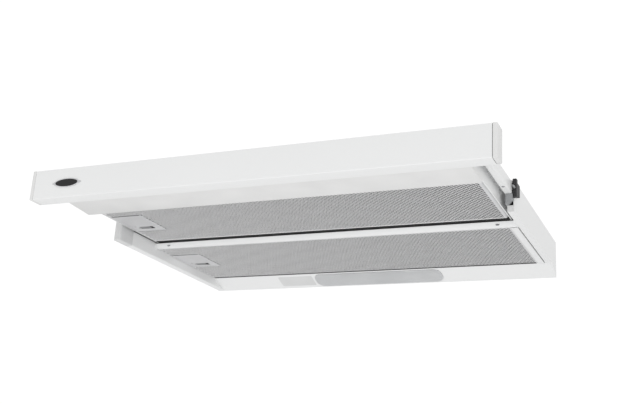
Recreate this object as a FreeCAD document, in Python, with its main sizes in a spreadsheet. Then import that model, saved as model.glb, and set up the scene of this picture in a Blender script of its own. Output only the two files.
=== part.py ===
import FreeCAD, Part
import math
import os
import re
import Sketcher
from FreeCAD import Placement, Rotation, Vector

# Telescopic under-cabinet range hood, 60 cm class, drawn with its slider pulled out.
#
# Every formula below is written in the bench frame: X across the hood (0 in the middle),
# Y = 0 at the wall side and negative towards the cook, Z = 0 at the underside, in mm.
# place() moves each piece into the row frame, whose origin is the middle of the four
# screw holes in the top plate, by which the hood hangs under its cabinet.

SIZES = {
    # case: the fixed steel body
    "case_width": 551, "case_depth": 273, "case_height": 52.2, "sheet_thick": 1.2,
    "rim_width": 11.3, "rim_height": 31, "hem_gap": 0.3,
    "right_rim_width": 8.1, "right_low": 12, "ledge_low": 11.2, "ledge_width": 8.3,
    "ledge_slot": 1.4, "ledge_high": 20, "hinge_gap": 2.3,
    "guide_length": 30, "guide_round": 3, "plug_length": 12, "plug_high": 19.6,
    "glide_thick": 2.7, "glide_low": 20.8, "glide_lift": 1.7, "glide_rear_gap": 38,
    "crossbar_reach": 217, "crossbar_depth": 7.5, "crossbar_low": 12.5, "crossbar_high": 19.4,
    "crossbar_nose": 5, "crossbar_screw_x": 241.5,
    "screw_span_x": 500, "screw_span_y": 200, "screw_row_y": 140, "screw_hole_radius": 2.6,
    # lamp at the rear of the underside
    "lamp_run": 34.7, "lamp_rise": 12.5, "lamp_rear_gap": 1.3, "lamp_hem": 6.6,
    "lens_length": 204, "lens_width": 31, "lens_thick": 1.2, "lens_seat": 3, "lens_plug": 1.8,
    "lens_x": 11,
    "reflector_length": 226, "reflector_low": 16, "reflector_high": 48,
    "bulb_radius": 11, "bulb_length": 62, "holder_radius": 12, "holder_length": 24,
    # slider
    "fascia_overhang": 23.5, "fascia_height": 39, "fascia_depth": 21, "fascia_low": 10,
    "fascia_wall": 1.8, "fascia_round": 1.6, "end_cap_thick": 2.5, "end_cap_gap": 0.35,
    "travel": 130, "closing_gap": 2, "slide_clearance": 0.3,
    "badge_x": 243, "badge_height": 29, "badge_long": 35, "badge_tall": 10.4,
    "badge_tip": 5, "badge_thick": 1.2, "badge_rim_width": 0.9,
    "bar_depth": 56.5, "bar_low": 12, "bar_wall": 2, "bar_side_gap": 1,
    "bar_nose_depth": 11, "bar_nose_low": 15, "bar_round": 3,
    "tray_width": 520, "tray_low": 20.5, "tray_high": 48.5, "tray_overlap": 2,
    "web_height": 42, "arm_high": 48.8, "arm_wall": 1.2, "arm_tail": 65, "arm_round": 3, "arm_floor": 2,
    "seal_depth": 8, "seal_thick": 1.6, "rear_bar_thick": 6,
    "control_length": 62, "control_depth": 32, "control_high": 43, "control_right": 252,
    "knob_length": 10, "knob_width": 7, "knob_height": 4, "speed_travel": 24, "lamp_travel": 8,
    "knob_clearance": 0.4,
    # filters
    "filter_thick": 6.8, "filter_edge": 1.4, "filter_side_gap": 1.2, "filter_end_gap": 1,
    "mesh_clearance": 0, "mesh_thick": 5,
    "latch_plate_length": 48, "latch_plate_depth": 68, "latch_plate_thick": 1,
    "latch_pad_length": 15, "latch_pad_depth": 9, "latch_bar_depth": 5, "latch_bar_thick": 2.2,
    "latch_catch": 2.6, "latch_travel": 5, "latch_clearance": 0.3, "latch_inset": 13,
    "front_latch_inset": 62, "rear_latch_inset": 83,
    # upper housing and outlet
    "housing_width": 380, "housing_depth": 250, "housing_top": 150, "housing_rear_gap": 12,
    "housing_nose": 13, "housing_slope": 62, "housing_flange": 9,
    "outlet_x": 95, "outlet_y": 95, "outlet_radius": 60, "outlet_wall": 2, "outlet_height": 25,
    "outlet_flange": 6, "outlet_flange_thick": 2, "outlet_ledge": 3, "outlet_ledge_height": 4.4,
    "flap_gap": 1.5, "flap_thick": 1.2, "flap_pin_radius": 1.5, "flap_knuckle": 2.8,
    "flap_knuckle_length": 14, "flap_lift": 0.3, "pin_clearance": 0.05,
    # blower
    "fan_x": 80, "fan_y": 120, "fan_radius": 75, "fan_low": 58, "fan_high": 104,
    "fan_plate": 2, "fan_ring_width": 13, "fan_ring_height": 4, "blade_thick": 1,
    "blade_count": 32, "hub_radius": 10, "hub_height": 18,
    "scroll_radius": 92, "scroll_shift": 8, "scroll_wall": 2, "scroll_high": 110,
    "cover_thick": 2, "inlet_radius": 61, "duct_half": 62,
    "shaft_radius": 4, "shaft_low": 80, "shaft_high": 139, "motor_radius": 42,
    "motor_high": 146, "grommet_height": 4, "grommet_radius": 5, "grommet_circle": 32,
    "capacitor_radius": 14, "capacitor_length": 50, "capacitor_x": 60, "capacitor_y": 222,
    "terminal_length": 50, "terminal_depth": 42, "terminal_height": 26,
    "terminal_x": 128, "terminal_y": 238,
    "gland_radius": 8, "gland_bore": 4, "gland_x": 172, "gland_height": 92, "gland_length": 17,
    # slider-out switch, on the right-hand side only
    "switch_width": 4.9, "switch_depth": 6.6, "switch_low": 28.5, "switch_high": 51.5,
    "plunger_radius": 1.2, "plunger_length": 11.3, "plunger_travel": 1.3, "plunger_height": 40,
    "striker_length": 19.8, "striker_width": 2.8, "striker_gap": 0.1,
}

DERIVED = {
    "case_side": "case_width / 2",
    "case_inside": "case_side - sheet_thick",
    "rim_face": "case_side - rim_width",
    "plate_low": "case_height - sheet_thick",
    "right_face": "case_side - right_rim_width",
    "ledge_out": "right_face - ledge_slot",
    "ledge_in": "ledge_out - ledge_width",
    "guide_front": "-(case_depth + guide_length)",
    "glide_high": "rim_height + glide_lift",
    "fascia_width": "case_width + 2 * fascia_overhang",
    "fascia_back": "guide_front - closing_gap - travel",
    "fascia_front": "fascia_back - fascia_depth",
    "bar_front": "fascia_back + 0.2",
    "bar_back": "bar_front + bar_depth",
    "bar_side": "rim_face - bar_side_gap",
    "bar_high": "tray_low",
    "tray_side": "tray_width / 2",
    "tray_inside": "tray_side - sheet_thick",
    "tray_front": "fascia_back",
    "tray_back": "tray_overlap - crossbar_reach",
    "arm_low": "glide_high + slide_clearance",
    "arm_inner": "rim_face + 0.7",
    "arm_outer": "case_inside - slide_clearance",
    "arm_back": "tray_back + arm_tail",
    "lamp_front": "-(lamp_rear_gap + lamp_run)",
    "lamp_slope": "sqrt(lamp_run * lamp_run + lamp_rise * lamp_rise)",
    "housing_back": "-housing_rear_gap",
    "housing_front": "housing_back - housing_depth",
    "housing_side": "housing_width / 2",
    "housing_under": "housing_top - sheet_thick",
    "flap_axis_height": "housing_top + outlet_ledge_height + flap_lift + flap_knuckle",
    "flap_radius": "outlet_radius - outlet_wall - flap_gap",
    "scroll_x": "scroll_shift - fan_x",
    "scroll_y": "-(fan_y + scroll_shift)",
    "duct_right": "outlet_x + duct_half",
    "duct_left": "outlet_x - duct_half",
    "duct_front": "-(outlet_y + duct_half)",
    "duct_rear": "duct_half - outlet_y",
    "cover_high": "scroll_high + cover_thick",
    "motor_low": "cover_high + grommet_height",
}

NODES = []
doc = FreeCAD.newDocument("range_hood")
sheet = doc.addObject("Spreadsheet::Sheet", "Sizes")
for row, (alias, size) in enumerate(SIZES.items(), 1):
    sheet.set(f"A{row}", alias)
    sheet.set(f"B{row}", str(size))
    sheet.setAlias(f"B{row}", alias)
doc.recompute()


# ---------------------------------------------------------------- drawing helpers

def formula(text):
    """Write a formula with sheet references in place of plain size names."""
    def swap(match):
        word = match.group(0)
        if word in DERIVED:
            return "(" + formula(DERIVED[word]) + ")"
        return "Sizes." + word if word in SIZES else word
    return re.sub(r"[a-z_]+", swap, str(text))


def bind(thing, name, text):
    """Bind one property of a thing to a formula."""
    thing.setExpression(name, formula(text))


def place(thing, x, y, z):
    """Bind a thing's position, given in the bench frame, and move it into the row frame."""
    bind(thing, "Placement.Base.x", x)
    bind(thing, "Placement.Base.y", f"({y}) + screw_row_y")
    bind(thing, "Placement.Base.z", f"({z}) - case_height")


def turn(thing, axis, degrees):
    """Turn a thing about an axis before its position is bound."""
    thing.Placement = Placement(Vector(), Rotation(axis, degrees))


def node(thing, label):
    """Make a thing a sub-part of its own: the label names its node and its file."""
    thing.Label = label
    NODES.append(thing)
    return thing


def mirror(side, low, high):
    """Span from low to high on the right-hand side (1), or its mirror image on the left (-1)."""
    return (low, high) if side > 0 else (f"-({high})", f"-({low})")


def box(name, x, y, z):
    """Add a box from (low, high) formulas along each axis."""
    solid = doc.addObject("Part::Box", name)
    for prop, (low, high) in zip(("Length", "Width", "Height"), (x, y, z)):
        bind(solid, prop, f"({high}) - ({low})")
    place(solid, x[0], y[0], z[0])
    return solid


def cylinder(name, centre, radius, length, axis="z"):
    """Add a cylinder that starts at centre and runs along +X, +Y or +Z."""
    solid = doc.addObject("Part::Cylinder", name)
    if axis == "x":
        turn(solid, Vector(0, 1, 0), 90)
    if axis == "y":
        turn(solid, Vector(1, 0, 0), -90)
    bind(solid, "Radius", radius)
    bind(solid, "Height", length)
    place(solid, *centre)
    return solid


def fuse(name, *solids):
    """Join solids into one."""
    joined = doc.addObject("Part::MultiFuse", name)
    joined.Shapes = list(solids)
    joined.Refine = True
    return joined


def cut(name, base, *tools):
    """Cut tools out of a base."""
    result = doc.addObject("Part::Cut", name)
    result.Base = base
    result.Tool = tools[0] if len(tools) == 1 else fuse(name + "_tools", *tools)
    return result


def common(name, first, second):
    """Keep what two solids share."""
    result = doc.addObject("Part::Common", name)
    result.Base = first
    result.Tool = second
    return result


def group(name, solids):
    """Hold separate, identical pieces as one sub-part."""
    held = doc.addObject("Part::Compound", name)
    held.Links = solids
    return held


class Shaped:
    """A PartDesign body, drawn from sketches counted from its own corner."""

    def __init__(self, name, corner, half_turn=False):
        self.name = name
        self.body = doc.addObject("PartDesign::Body", name)
        self.steps = 0
        if half_turn:
            turn(self.body, Vector(0, 0, 1), 180)
        place(self.body, *corner)

    def sketch(self, plane, outlines, lift="0"):
        """Draw outlines on an origin plane: lists of (right, up) formulas, or (x, y, radius)."""
        self.steps += 1
        sketch = self.body.newObject("Sketcher::SketchObject", f"{self.name}_sketch{self.steps}")
        planes = [item for item in self.body.Origin.OriginFeatures if item.Role == plane]
        sketch.AttachmentSupport = [(planes[0], "")]
        sketch.MapMode = "FlatFace"
        bind(sketch, "AttachmentOffset.Base.z", lift)
        for outline in outlines:
            if isinstance(outline, tuple):
                self._circle(sketch, *outline)
            else:
                self._polygon(sketch, outline)
        return sketch

    def _pin(self, sketch, edge, point, right, up):
        """Fix a sketch point at (right, up) from the sketch's origin."""
        for kind, text, axis in (("DistanceX", right, -2), ("DistanceY", up, -1)):
            if text == "0":
                sketch.addConstraint(Sketcher.Constraint("PointOnObject", edge, point, axis))
                continue
            number = sketch.addConstraint(Sketcher.Constraint(kind, -1, 1, edge, point, 1.0))
            sketch.setExpression(f"Constraints[{number}]", formula(text))

    def _polygon(self, sketch, corners):
        count = len(corners)
        spots = [Vector(10 * math.cos(6.28 * i / count), 10 * math.sin(6.28 * i / count), 0)
                 for i in range(count)]
        first = sketch.GeometryCount
        for i in range(count):
            sketch.addGeometry(Part.LineSegment(spots[i], spots[(i + 1) % count]))
        for i in range(count):
            ends = (first + i, 2, first + (i + 1) % count, 1)
            sketch.addConstraint(Sketcher.Constraint("Coincident", *ends))
        for i, (right, up) in enumerate(corners):
            self._pin(sketch, first + i, 1, right, up)

    def _circle(self, sketch, right, up, radius):
        edge = sketch.addGeometry(Part.Circle(Vector(5, 5, 0), Vector(0, 0, 1), 2.0))
        self._pin(sketch, edge, 3, right, up)
        number = sketch.addConstraint(Sketcher.Constraint("Radius", edge, 2.0))
        sketch.setExpression(f"Constraints[{number}]", formula(radius))

    def pad(self, plane, outlines, length, lift="0", back=False):
        """Pad outlines by a length, against the plane's normal when back is set."""
        sketch = self.sketch(plane, outlines, lift)
        pad = self.body.newObject("PartDesign::Pad", f"{self.name}_pad{self.steps}")
        pad.Profile = sketch
        pad.Reversed = back
        bind(pad, "Length", length)
        self.body.Tip = pad
        return pad

    def pocket(self, plane, outlines, length, lift="0", back=False):
        """Cut outlines out of the body by a length."""
        sketch = self.sketch(plane, outlines, lift)
        pocket = self.body.newObject("PartDesign::Pocket", f"{self.name}_pocket{self.steps}")
        pocket.Profile = sketch
        pocket.Reversed = back
        bind(pocket, "Length", length)
        self.body.Tip = pocket
        return pocket

    def fillet(self, radius, along, *places):
        """Round the straight edges along an axis that lie on the given sides of the body."""
        doc.recompute()
        base = self.body.Tip
        names = []
        for sides in places:
            names += edges_at(base.Shape, along, **sides)
        fillet = self.body.newObject("PartDesign::Fillet", f"{self.name}_round{self.steps}")
        fillet.Base = (base, sorted(set(names)))
        bind(fillet, "Radius", radius)
        self.body.Tip = fillet
        return fillet


def edges_at(shape, along, **sides):
    """Name the straight edges along an axis on the low (0) or high (1) sides of a shape."""
    def spans(bounds):
        return {"x": (bounds.XMin, bounds.XMax), "y": (bounds.YMin, bounds.YMax),
                "z": (bounds.ZMin, bounds.ZMax)}
    whole = spans(shape.BoundBox)
    names = []
    for number, edge in enumerate(shape.Edges, 1):
        own = spans(edge.BoundBox)
        straight = abs(own[along][1] - own[along][0] - edge.Length) < 0.01
        on_sides = all(abs(end - whole[axis][side]) < 0.01
                       for axis, side in sides.items() for end in own[axis])
        if straight and on_sides:
            names.append(f"Edge{number}")
    return names


def rectangle(right, up, width, height):
    """List the corners of a rectangle from its low corner."""
    far, top = f"({right}) + ({width})", f"({up}) + ({height})"
    return [(right, up), (far, up), (far, top), (right, top)]


# ---------------------------------------------------------------- case

def side_panels():
    """Bend each side of the case from sheet: wall, underside rim, inner face and ledge."""
    wall = "rim_width - sheet_thick"
    hem = "rim_width - sheet_thick - hem_gap"
    profile = [("0", "0"), ("rim_width", "0"), ("rim_width", "plate_low"), (wall, "plate_low"),
               (wall, "sheet_thick"), ("sheet_thick", "sheet_thick"),
               ("sheet_thick", "rim_height - sheet_thick"), (hem, "rim_height - sheet_thick"),
               (hem, "rim_height"), ("0", "rim_height")]
    thick, face = "sheet_thick", "right_face"
    right = Shaped("side_panel_right_body", ("0", "0", "0"))
    right.pad("XZ_Plane", [[(face, "right_low"), ("case_side", "right_low"), ("case_side", "plate_low"),
                            ("case_inside", "plate_low"), ("case_inside", f"right_low + {thick}"),
                            (f"{face} + {thick}", f"right_low + {thick}"),
                            (f"{face} + {thick}", f"rim_height - {thick}"),
                            ("case_inside - hem_gap", f"rim_height - {thick}"),
                            ("case_inside - hem_gap", "rim_height"), (face, "rim_height")]],
              "case_depth + lamp_front - 1", lift="1 - lamp_front")
    right.pad("YZ_Plane", [[("lamp_front - 1", "right_low"), ("lamp_front", "right_low"),
                            ("-lamp_rear_gap", "0"), ("0", "0"), ("0", "plate_low"),
                            ("lamp_front - 1", "plate_low")]], thick, lift="case_inside")
    right.pad("XZ_Plane", [[("ledge_in", "ledge_low"), ("ledge_out", "ledge_low"),
                            ("ledge_out", f"ledge_high - {thick}"),
                            (f"{face} + 0.5", f"ledge_high - {thick}"), (f"{face} + 0.5", "ledge_high"),
                            (f"ledge_out - {thick}", "ledge_high"),
                            (f"ledge_out - {thick}", f"ledge_low + {thick}"),
                            ("ledge_in", f"ledge_low + {thick}")]],
              "crossbar_reach - crossbar_depth - 0.4 + lamp_front - 1", lift="1 - lamp_front")
    node(right.body, "side_panel_right")
    left = Shaped("side_panel_left_body", ("-rim_face", "-case_depth", "0"), half_turn=True)
    left.pad("XZ_Plane", [profile], "case_depth - sheet_thick")
    slot = box("rear_catch_slot", ("-rim_face - 2", "1 - rim_face"), rear_catch_span(),
               ("rear_filter_low + latch_inset_low", "rear_filter_low + latch_inset_high"))
    node(cut("side_panel_left_cut", left.body, slot), "side_panel_left")


def rear_catch_span():
    """Span, along Y, of the slot that takes the rear filter's latch."""
    half = "(latch_bar_depth / 2 + latch_clearance * 3)"
    return f"rear_latch_y - {half}", f"rear_latch_y + {half}"


DERIVED.update({
    "rear_filter_low": "crossbar_low",
    "rear_filter_front": "crossbar_depth - crossbar_reach + 0.5",
    "rear_filter_back": "lamp_front - filter_end_gap",
    "rear_latch_y": "rear_filter_back - rear_latch_inset",
    "front_filter_low": "tray_low + 0.2",
    "front_filter_front": "bar_back + filter_end_gap",
    "front_filter_back": "tray_back - seal_depth - filter_end_gap",
    "front_latch_y": "front_filter_back - front_latch_inset",
    "latch_inset_low": "1.9",
    "latch_inset_high": "5.1",
})


def case_plates():
    """Make the rear panel and the top plate, with the fan inlet and the cabinet screw holes."""
    node(box("rear_panel_box", ("-case_side", "case_inside"), ("-sheet_thick", "0"),
             ("0", "plate_low")), "rear_panel")
    plate = Shaped("top_plate_body", ("-case_side", "-case_depth", "plate_low"))
    plate.pad("XY_Plane", [rectangle("0", "0", "case_width", "case_depth")], "sheet_thick")
    plate.pocket("XY_Plane", [("case_side - fan_x", "case_depth - fan_y", "inlet_radius")],
                 "sheet_thick", back=True)
    holes = [(f"case_side + {sx} * screw_span_x / 2",
              f"case_depth - screw_row_y + {sy} * screw_span_y / 2", "screw_hole_radius")
             for sx in (-1, 1) for sy in (-1, 1)]
    plate.pocket("XY_Plane", holes, "sheet_thick", back=True)
    node(plate.body, "top_plate")


def guide_caps():
    """Close the front of each rim: a tall guide cap on the left, a flat plug on the right."""
    cap = Shaped("guide_cap_left_body", ("-case_side", "guide_front", "0"))
    cap.pad("XY_Plane", [rectangle("0", "0", "rim_width", "guide_length")], "rim_height")
    cap.fillet("guide_round", "x", {"y": 0, "z": 0})
    cap.fillet("guide_round / 2", "z", {"y": 0, "x": 0})
    inset = "sheet_thick + 0.4"
    cap.pad("XY_Plane", [rectangle(inset, "guide_length", f"rim_width - 2 * ({inset})", "plug_length")],
            "rim_height - 4.4", lift="2")
    node(cap.body, "guide_cap_left")
    plug = Shaped("guide_cap_right_body", ("right_face", "-case_depth", "right_low"))
    plug.pad("XY_Plane", [rectangle("0", "-1.5", "right_rim_width", "1.5")], "plug_high - right_low")
    plug.pad("XY_Plane", [rectangle(inset, "0", f"right_rim_width - 2 * ({inset})", "plug_length")],
             f"plug_high - right_low - ({inset})", lift=inset)
    node(plug.body, "guide_cap_right")


def side_glides():
    """Lay a black glide on each ledge, with a lip down the rim's inner face."""
    reach = "rim_width - sheet_thick - 1"
    drop = "rim_height - glide_low"
    left = Shaped("glide_left_body", ("glide_thick - rim_face", "-case_depth", "glide_low"),
                  half_turn=True)
    left.pad("XZ_Plane", [[("0", "0"), ("glide_thick", "0"), ("glide_thick", drop),
                           (f"glide_thick + {reach}", drop),
                           (f"glide_thick + {reach}", "glide_high - glide_low"),
                           ("0", "glide_high - glide_low")]], "case_depth - glide_rear_gap")
    node(left.body, "glide_left")
    face, low = "right_face", "ledge_high + 2"
    right = Shaped("glide_right_body", ("0", "-glide_rear_gap", "0"))
    right.pad("XZ_Plane", [[(f"{face} - glide_thick", low), (face, low), (face, "rim_height"),
                            ("case_inside - 1", "rim_height"), ("case_inside - 1", "glide_high"),
                            (f"{face} - glide_thick", "glide_high")]], "case_depth - glide_rear_gap")
    nose = "case_depth - glide_rear_gap"
    right.pad("XZ_Plane", [[(f"{face} - 1", "plug_high + 0.2"), (f"{face} + 1.4", "plug_high + 0.2"),
                            ("case_side - 0.7", "plug_high + 6.8"), ("case_side - 0.7", "glide_high"),
                            (f"{face} - 1", "glide_high")]], "switch_depth", lift=nose)
    node(right.body, "glide_right")


def crossbar():
    """Fold the bar between the two filters; its nose faces the cook and holds two screws."""
    bar = Shaped("crossbar_body", ("-rim_face", "-crossbar_reach", "crossbar_low"))
    top = "crossbar_high - crossbar_low"
    profile = [("crossbar_nose", "0"), ("crossbar_depth", "0"), ("crossbar_depth", top),
               ("0", top), ("0", f"{top} - 1")]
    bar.pad("YZ_Plane", [profile], "rim_face + right_face")
    tilt = math.degrees(math.atan2(SIZES["crossbar_nose"],
                                   SIZES["crossbar_high"] - SIZES["crossbar_low"] - 1))
    holes, screws = [], []
    for side in (-1, 1):
        for kind, radius, length, gather in (("hole", "1.5", "5", holes), ("shank", "1.5", "4", screws)):
            pin = doc.addObject("Part::Cylinder", f"crossbar_{kind}{side + 2}")
            turn(pin, Vector(1, 0, 0), -90 + tilt)
            bind(pin, "Radius", radius)
            bind(pin, "Height", length)
            place(pin, f"{side} * crossbar_screw_x", "crossbar_nose / 2 - crossbar_reach",
                  "(crossbar_low + crossbar_high - 1) / 2")
            gather.append(pin)
        head = doc.addObject("Part::Cone", f"crossbar_head{side + 2}")
        turn(head, Vector(1, 0, 0), 90 + tilt)
        bind(head, "Radius1", "2.5")
        bind(head, "Radius2", "1.7")
        bind(head, "Height", "0.9")
        place(head, f"{side} * crossbar_screw_x", "crossbar_nose / 2 - crossbar_reach",
              "(crossbar_low + crossbar_high - 1) / 2")
        screws.append(fuse(f"crossbar_screw{side + 2}", screws.pop(), head))
    node(cut("crossbar_cut", bar.body, *holes), "crossbar")
    node(group("crossbar_screw_group", screws), "crossbar_screws")


# ---------------------------------------------------------------- lamp

def slope_frame(thing, x, along, out):
    """Place a thing on the lamp panel's slope: along it from its front edge, and out of it."""
    tilt = "atan(lamp_rise / lamp_run)"
    turn(thing, Vector(1, 0, 0), 10)
    bind(thing, "Placement.Rotation.Angle", f"-{tilt}")
    place(thing, x, f"lamp_front + ({along}) * cos({tilt}) - ({out}) * sin({tilt})",
          f"lamp_rise - ({along}) * sin({tilt}) - ({out}) * cos({tilt})")


def lamp_panel():
    """Fold the sloping panel behind the rear filter and cut the opening under its lens."""
    panel = Shaped("lamp_panel_body", ("-rim_face", "lamp_front", "0"))
    gauge = "1.3"
    profile = [("0", "lamp_rise"), ("lamp_run", "0"), ("lamp_run", gauge),
               ("1.2", f"lamp_rise + {gauge} - 0.4"), ("1.2", "lamp_rise + lamp_hem"),
               ("0", "lamp_rise + lamp_hem")]
    panel.pad("YZ_Plane", [profile], "rim_face + case_inside")
    opening = doc.addObject("Part::Box", "lens_opening")
    bind(opening, "Length", "lens_length - 2 * lens_seat")
    bind(opening, "Width", "lens_width - 2 * lens_seat")
    bind(opening, "Height", "12")
    slope_frame(opening, "lens_x + lens_seat - lens_length / 2",
                "(lamp_slope - lens_width) / 2 + lens_seat", "6")
    node(cut("lamp_panel_cut", panel.body, opening), "lamp_panel")


def lamp_lens():
    """Mould the clip-in lens: a plate with rounded ends and a plug that fills the opening."""
    lens = Shaped("lamp_lens_body", ("0", "0", "0"))
    lens.pad("XY_Plane", [rectangle("0", "0", "lens_length", "lens_width")], "lens_thick")
    lens.fillet("lens_width / 2 - 3", "z", {"x": 0}, {"x": 1})
    inset = "lens_seat + 0.4"
    lens.pad("XY_Plane", [rectangle(inset, inset, f"lens_length - 2 * ({inset})",
                                    f"lens_width - 2 * ({inset})")], "lens_plug", lift="lens_thick")
    slope_frame(lens.body, "lens_x - lens_length / 2", "(lamp_slope - lens_width) / 2", "lens_thick")
    node(lens.body, "lamp_lens")


def lamp_inside():
    """Add the reflector, the two lampholders and the two tubular bulbs."""
    ends = ("-reflector_length / 2", "reflector_length / 2")
    outer = box("reflector_outer", ends, ("lamp_front + 2", "-sheet_thick"),
                ("reflector_low", "reflector_high"))
    inner = box("reflector_inner", ("1 - reflector_length / 2", "reflector_length / 2 - 1"),
                ("lamp_front + 3", "-sheet_thick - 1"), ("reflector_low - 1", "reflector_high - 1"))
    node(cut("reflector_cut", outer, inner), "lamp_reflector")
    middle = ("lamp_front / 2 - 0.1", "(reflector_low + reflector_high) / 2")
    holders, bulbs = [], []
    for side in (-1, 1):
        far = "reflector_length / 2 - 1"
        start = f"{far} - holder_length" if side > 0 else f"-({far})"
        holders.append(cylinder(f"holder{side + 2}", (start, *middle), "holder_radius",
                                "holder_length", "x"))
        root = f"{far} - holder_length"
        start = f"{root} - bulb_length" if side > 0 else f"-({root})"
        tube = cylinder(f"bulb_tube{side + 2}", (start, *middle), "bulb_radius", "bulb_length", "x")
        tip = doc.addObject("Part::Sphere", f"bulb_tip{side + 2}")
        bind(tip, "Radius", "bulb_radius")
        place(tip, f"{side} * ({root} - bulb_length)", *middle)
        bulbs.append(fuse(f"bulb{side + 2}", tube, tip))
    node(group("lamp_holder_group", holders), "lamp_holders")
    node(group("lamp_bulb_group", bulbs), "lamp_bulbs")


# ---------------------------------------------------------------- slider

def fascia():
    """Roll the fascia's channel, close its ends and add the plain oval badge."""
    panel = Shaped("fascia_body", ("-fascia_width / 2", "fascia_front", "fascia_low"))
    inner, top = "fascia_wall", "fascia_height - fascia_wall"
    profile = [("0", "0"), ("fascia_depth", "0"), ("fascia_depth", inner), (inner, inner),
               (inner, top), ("fascia_depth", top), ("fascia_depth", "fascia_height"),
               ("0", "fascia_height")]
    panel.pad("YZ_Plane", [profile], "fascia_width")
    panel.fillet("fascia_round", "x", {"y": 0, "z": 0}, {"y": 0, "z": 1})
    node(panel.body, "fascia_panel")
    for side, label in ((-1, "fascia_end_left"), (1, "fascia_end_right")):
        edge, front = "fascia_wall + end_cap_gap", "fascia_front + fascia_wall"
        span = mirror(side, "fascia_width / 2 - end_cap_thick - 0.3", "fascia_width / 2 - 0.3")
        cap = Shaped(label + "_body", (span[0], front, f"fascia_low + {edge}"))
        cap.pad("YZ_Plane", [rectangle("0", "0", "fascia_depth - fascia_wall",
                                       f"fascia_height - 2 * ({edge})")], "end_cap_thick")
        node(cap.body, label)


def badge():
    """Make the badge: a plain dark oval in a bright rim that runs out to a point each side."""
    centre = ("-badge_x", "fascia_front", "badge_height")
    half_long, half_tall = "badge_long / 2", "badge_tall / 2"

    def oval(name, grow, depth):
        solid = doc.addObject("Part::Ellipse", name + "_line")
        bind(solid, "MajorRadius", f"{half_long} + {grow}")
        bind(solid, "MinorRadius", f"{half_tall} + {grow}")
        turn(solid, Vector(1, 0, 0), 90)
        place(solid, *centre)
        plate = doc.addObject("Part::Extrusion", name)
        plate.Base = solid
        plate.DirMode = "Normal"
        plate.Reversed = True
        plate.Solid = True
        bind(plate, "LengthFwd", depth)
        return plate

    plate = oval("badge_oval", "0", "badge_thick")
    rim_outer = oval("badge_rim_outer", "badge_rim_width", "badge_thick - 0.3")
    tips = Shaped("badge_tips_body", ("-badge_x - badge_long / 2 - badge_tip",
                                      "fascia_front - badge_thick + 0.3", "badge_height - badge_tall / 2"))
    span = "badge_long + 2 * badge_tip"
    tips.pad("XZ_Plane", [[("0", "badge_tall / 2"), (f"({span}) / 2", "badge_tall * 0.12"),
                           (span, "badge_tall / 2"), (f"({span}) / 2", "badge_tall * 0.88")]],
             "badge_thick - 0.3", back=True)
    hole = oval("badge_rim_hole", "0.05", "badge_thick + 1")
    node(plate, "badge_plate")
    node(cut("badge_rim_cut", fuse("badge_rim_fuse", rim_outer, tips.body), hole), "badge_rim")


def front_bar():
    """Extrude the bar under the fascia's back edge, with a closing piece at each end."""
    bar = Shaped("front_bar_body", ("-bar_side", "bar_front", "bar_low"))
    nose, low = "bar_nose_depth", "bar_nose_low - bar_low"
    top, inner = "bar_high - bar_low", "bar_wall"
    profile = [("0", f"{top} - 1.2"), (nose, low), ("bar_depth", "0"), ("bar_depth", top),
               (f"bar_depth - {inner}", top), (f"bar_depth - {inner}", f"{inner} + 0.2"),
               (nose, f"{low} + {inner}"), ("bar_wall", top), ("0", top)]
    bar.pad("YZ_Plane", [profile], "2 * bar_side")
    bar.fillet("bar_round / 4", "x", {"y": 1, "z": 0})
    node(bar.body, "front_bar")
    for side, label in ((-1, "bar_end_left"), (1, "bar_end_right")):
        span = mirror(side, "bar_side - bar_wall - 0.2", "bar_side - 0.2")
        end = Shaped(label + "_body", (span[0], "bar_front", "bar_low"))
        gap = "0.25"
        end.pad("YZ_Plane", [[("bar_wall + 1.4", top), (f"{nose} + 0.5", f"{low} + {inner} + {gap}"),
                              (f"bar_depth - {inner}", f"{inner} + 0.2 + {gap}"),
                              (f"bar_depth - {inner}", top)]], "bar_wall")
        node(end.body, label)


def tray(window):
    """Build the tray behind the fascia: side walls with webs, cover, rear bar and black seal."""
    for side, label in ((-1, "tray_side_left"), (1, "tray_side_right")):
        wall = box(label + "_wall", mirror(side, "tray_inside", "tray_side"),
                   ("tray_front", "tray_back"), ("tray_low", "tray_high"))
        web = box(label + "_web", mirror(side, "tray_side", "arm_inner"),
                  ("tray_front", "tray_back"), ("web_height", "web_height + sheet_thick"))
        joined = fuse(label + "_fuse", wall, web)
        if side < 0:
            half = "(latch_bar_depth / 2 + latch_clearance * 3)"
            slot = box("front_catch_slot", ("-tray_side - 1", "1 - tray_inside"),
                       (f"front_latch_y - {half}", f"front_latch_y + {half}"),
                       ("front_filter_low + latch_inset_low", "front_filter_low + latch_inset_high"))
            joined = cut(label + "_cut", joined, slot)
        node(joined, label)
    inside = ("-tray_inside", "tray_inside")
    cover = box("tray_cover_box", inside, ("tray_front", "tray_back"),
                ("tray_high - sheet_thick", "tray_high"))
    node(cut("tray_cover_cut", cover, window), "tray_cover")
    back = ("tray_back - seal_depth", "tray_back")
    bar_low = "tray_low + seal_thick"
    node(box("rear_bar_box", inside, back, (bar_low, f"{bar_low} + rear_bar_thick")), "tray_rear_bar")
    node(box("tray_seal_box", inside, back, ("tray_low", bar_low)), "tray_seal")


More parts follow.
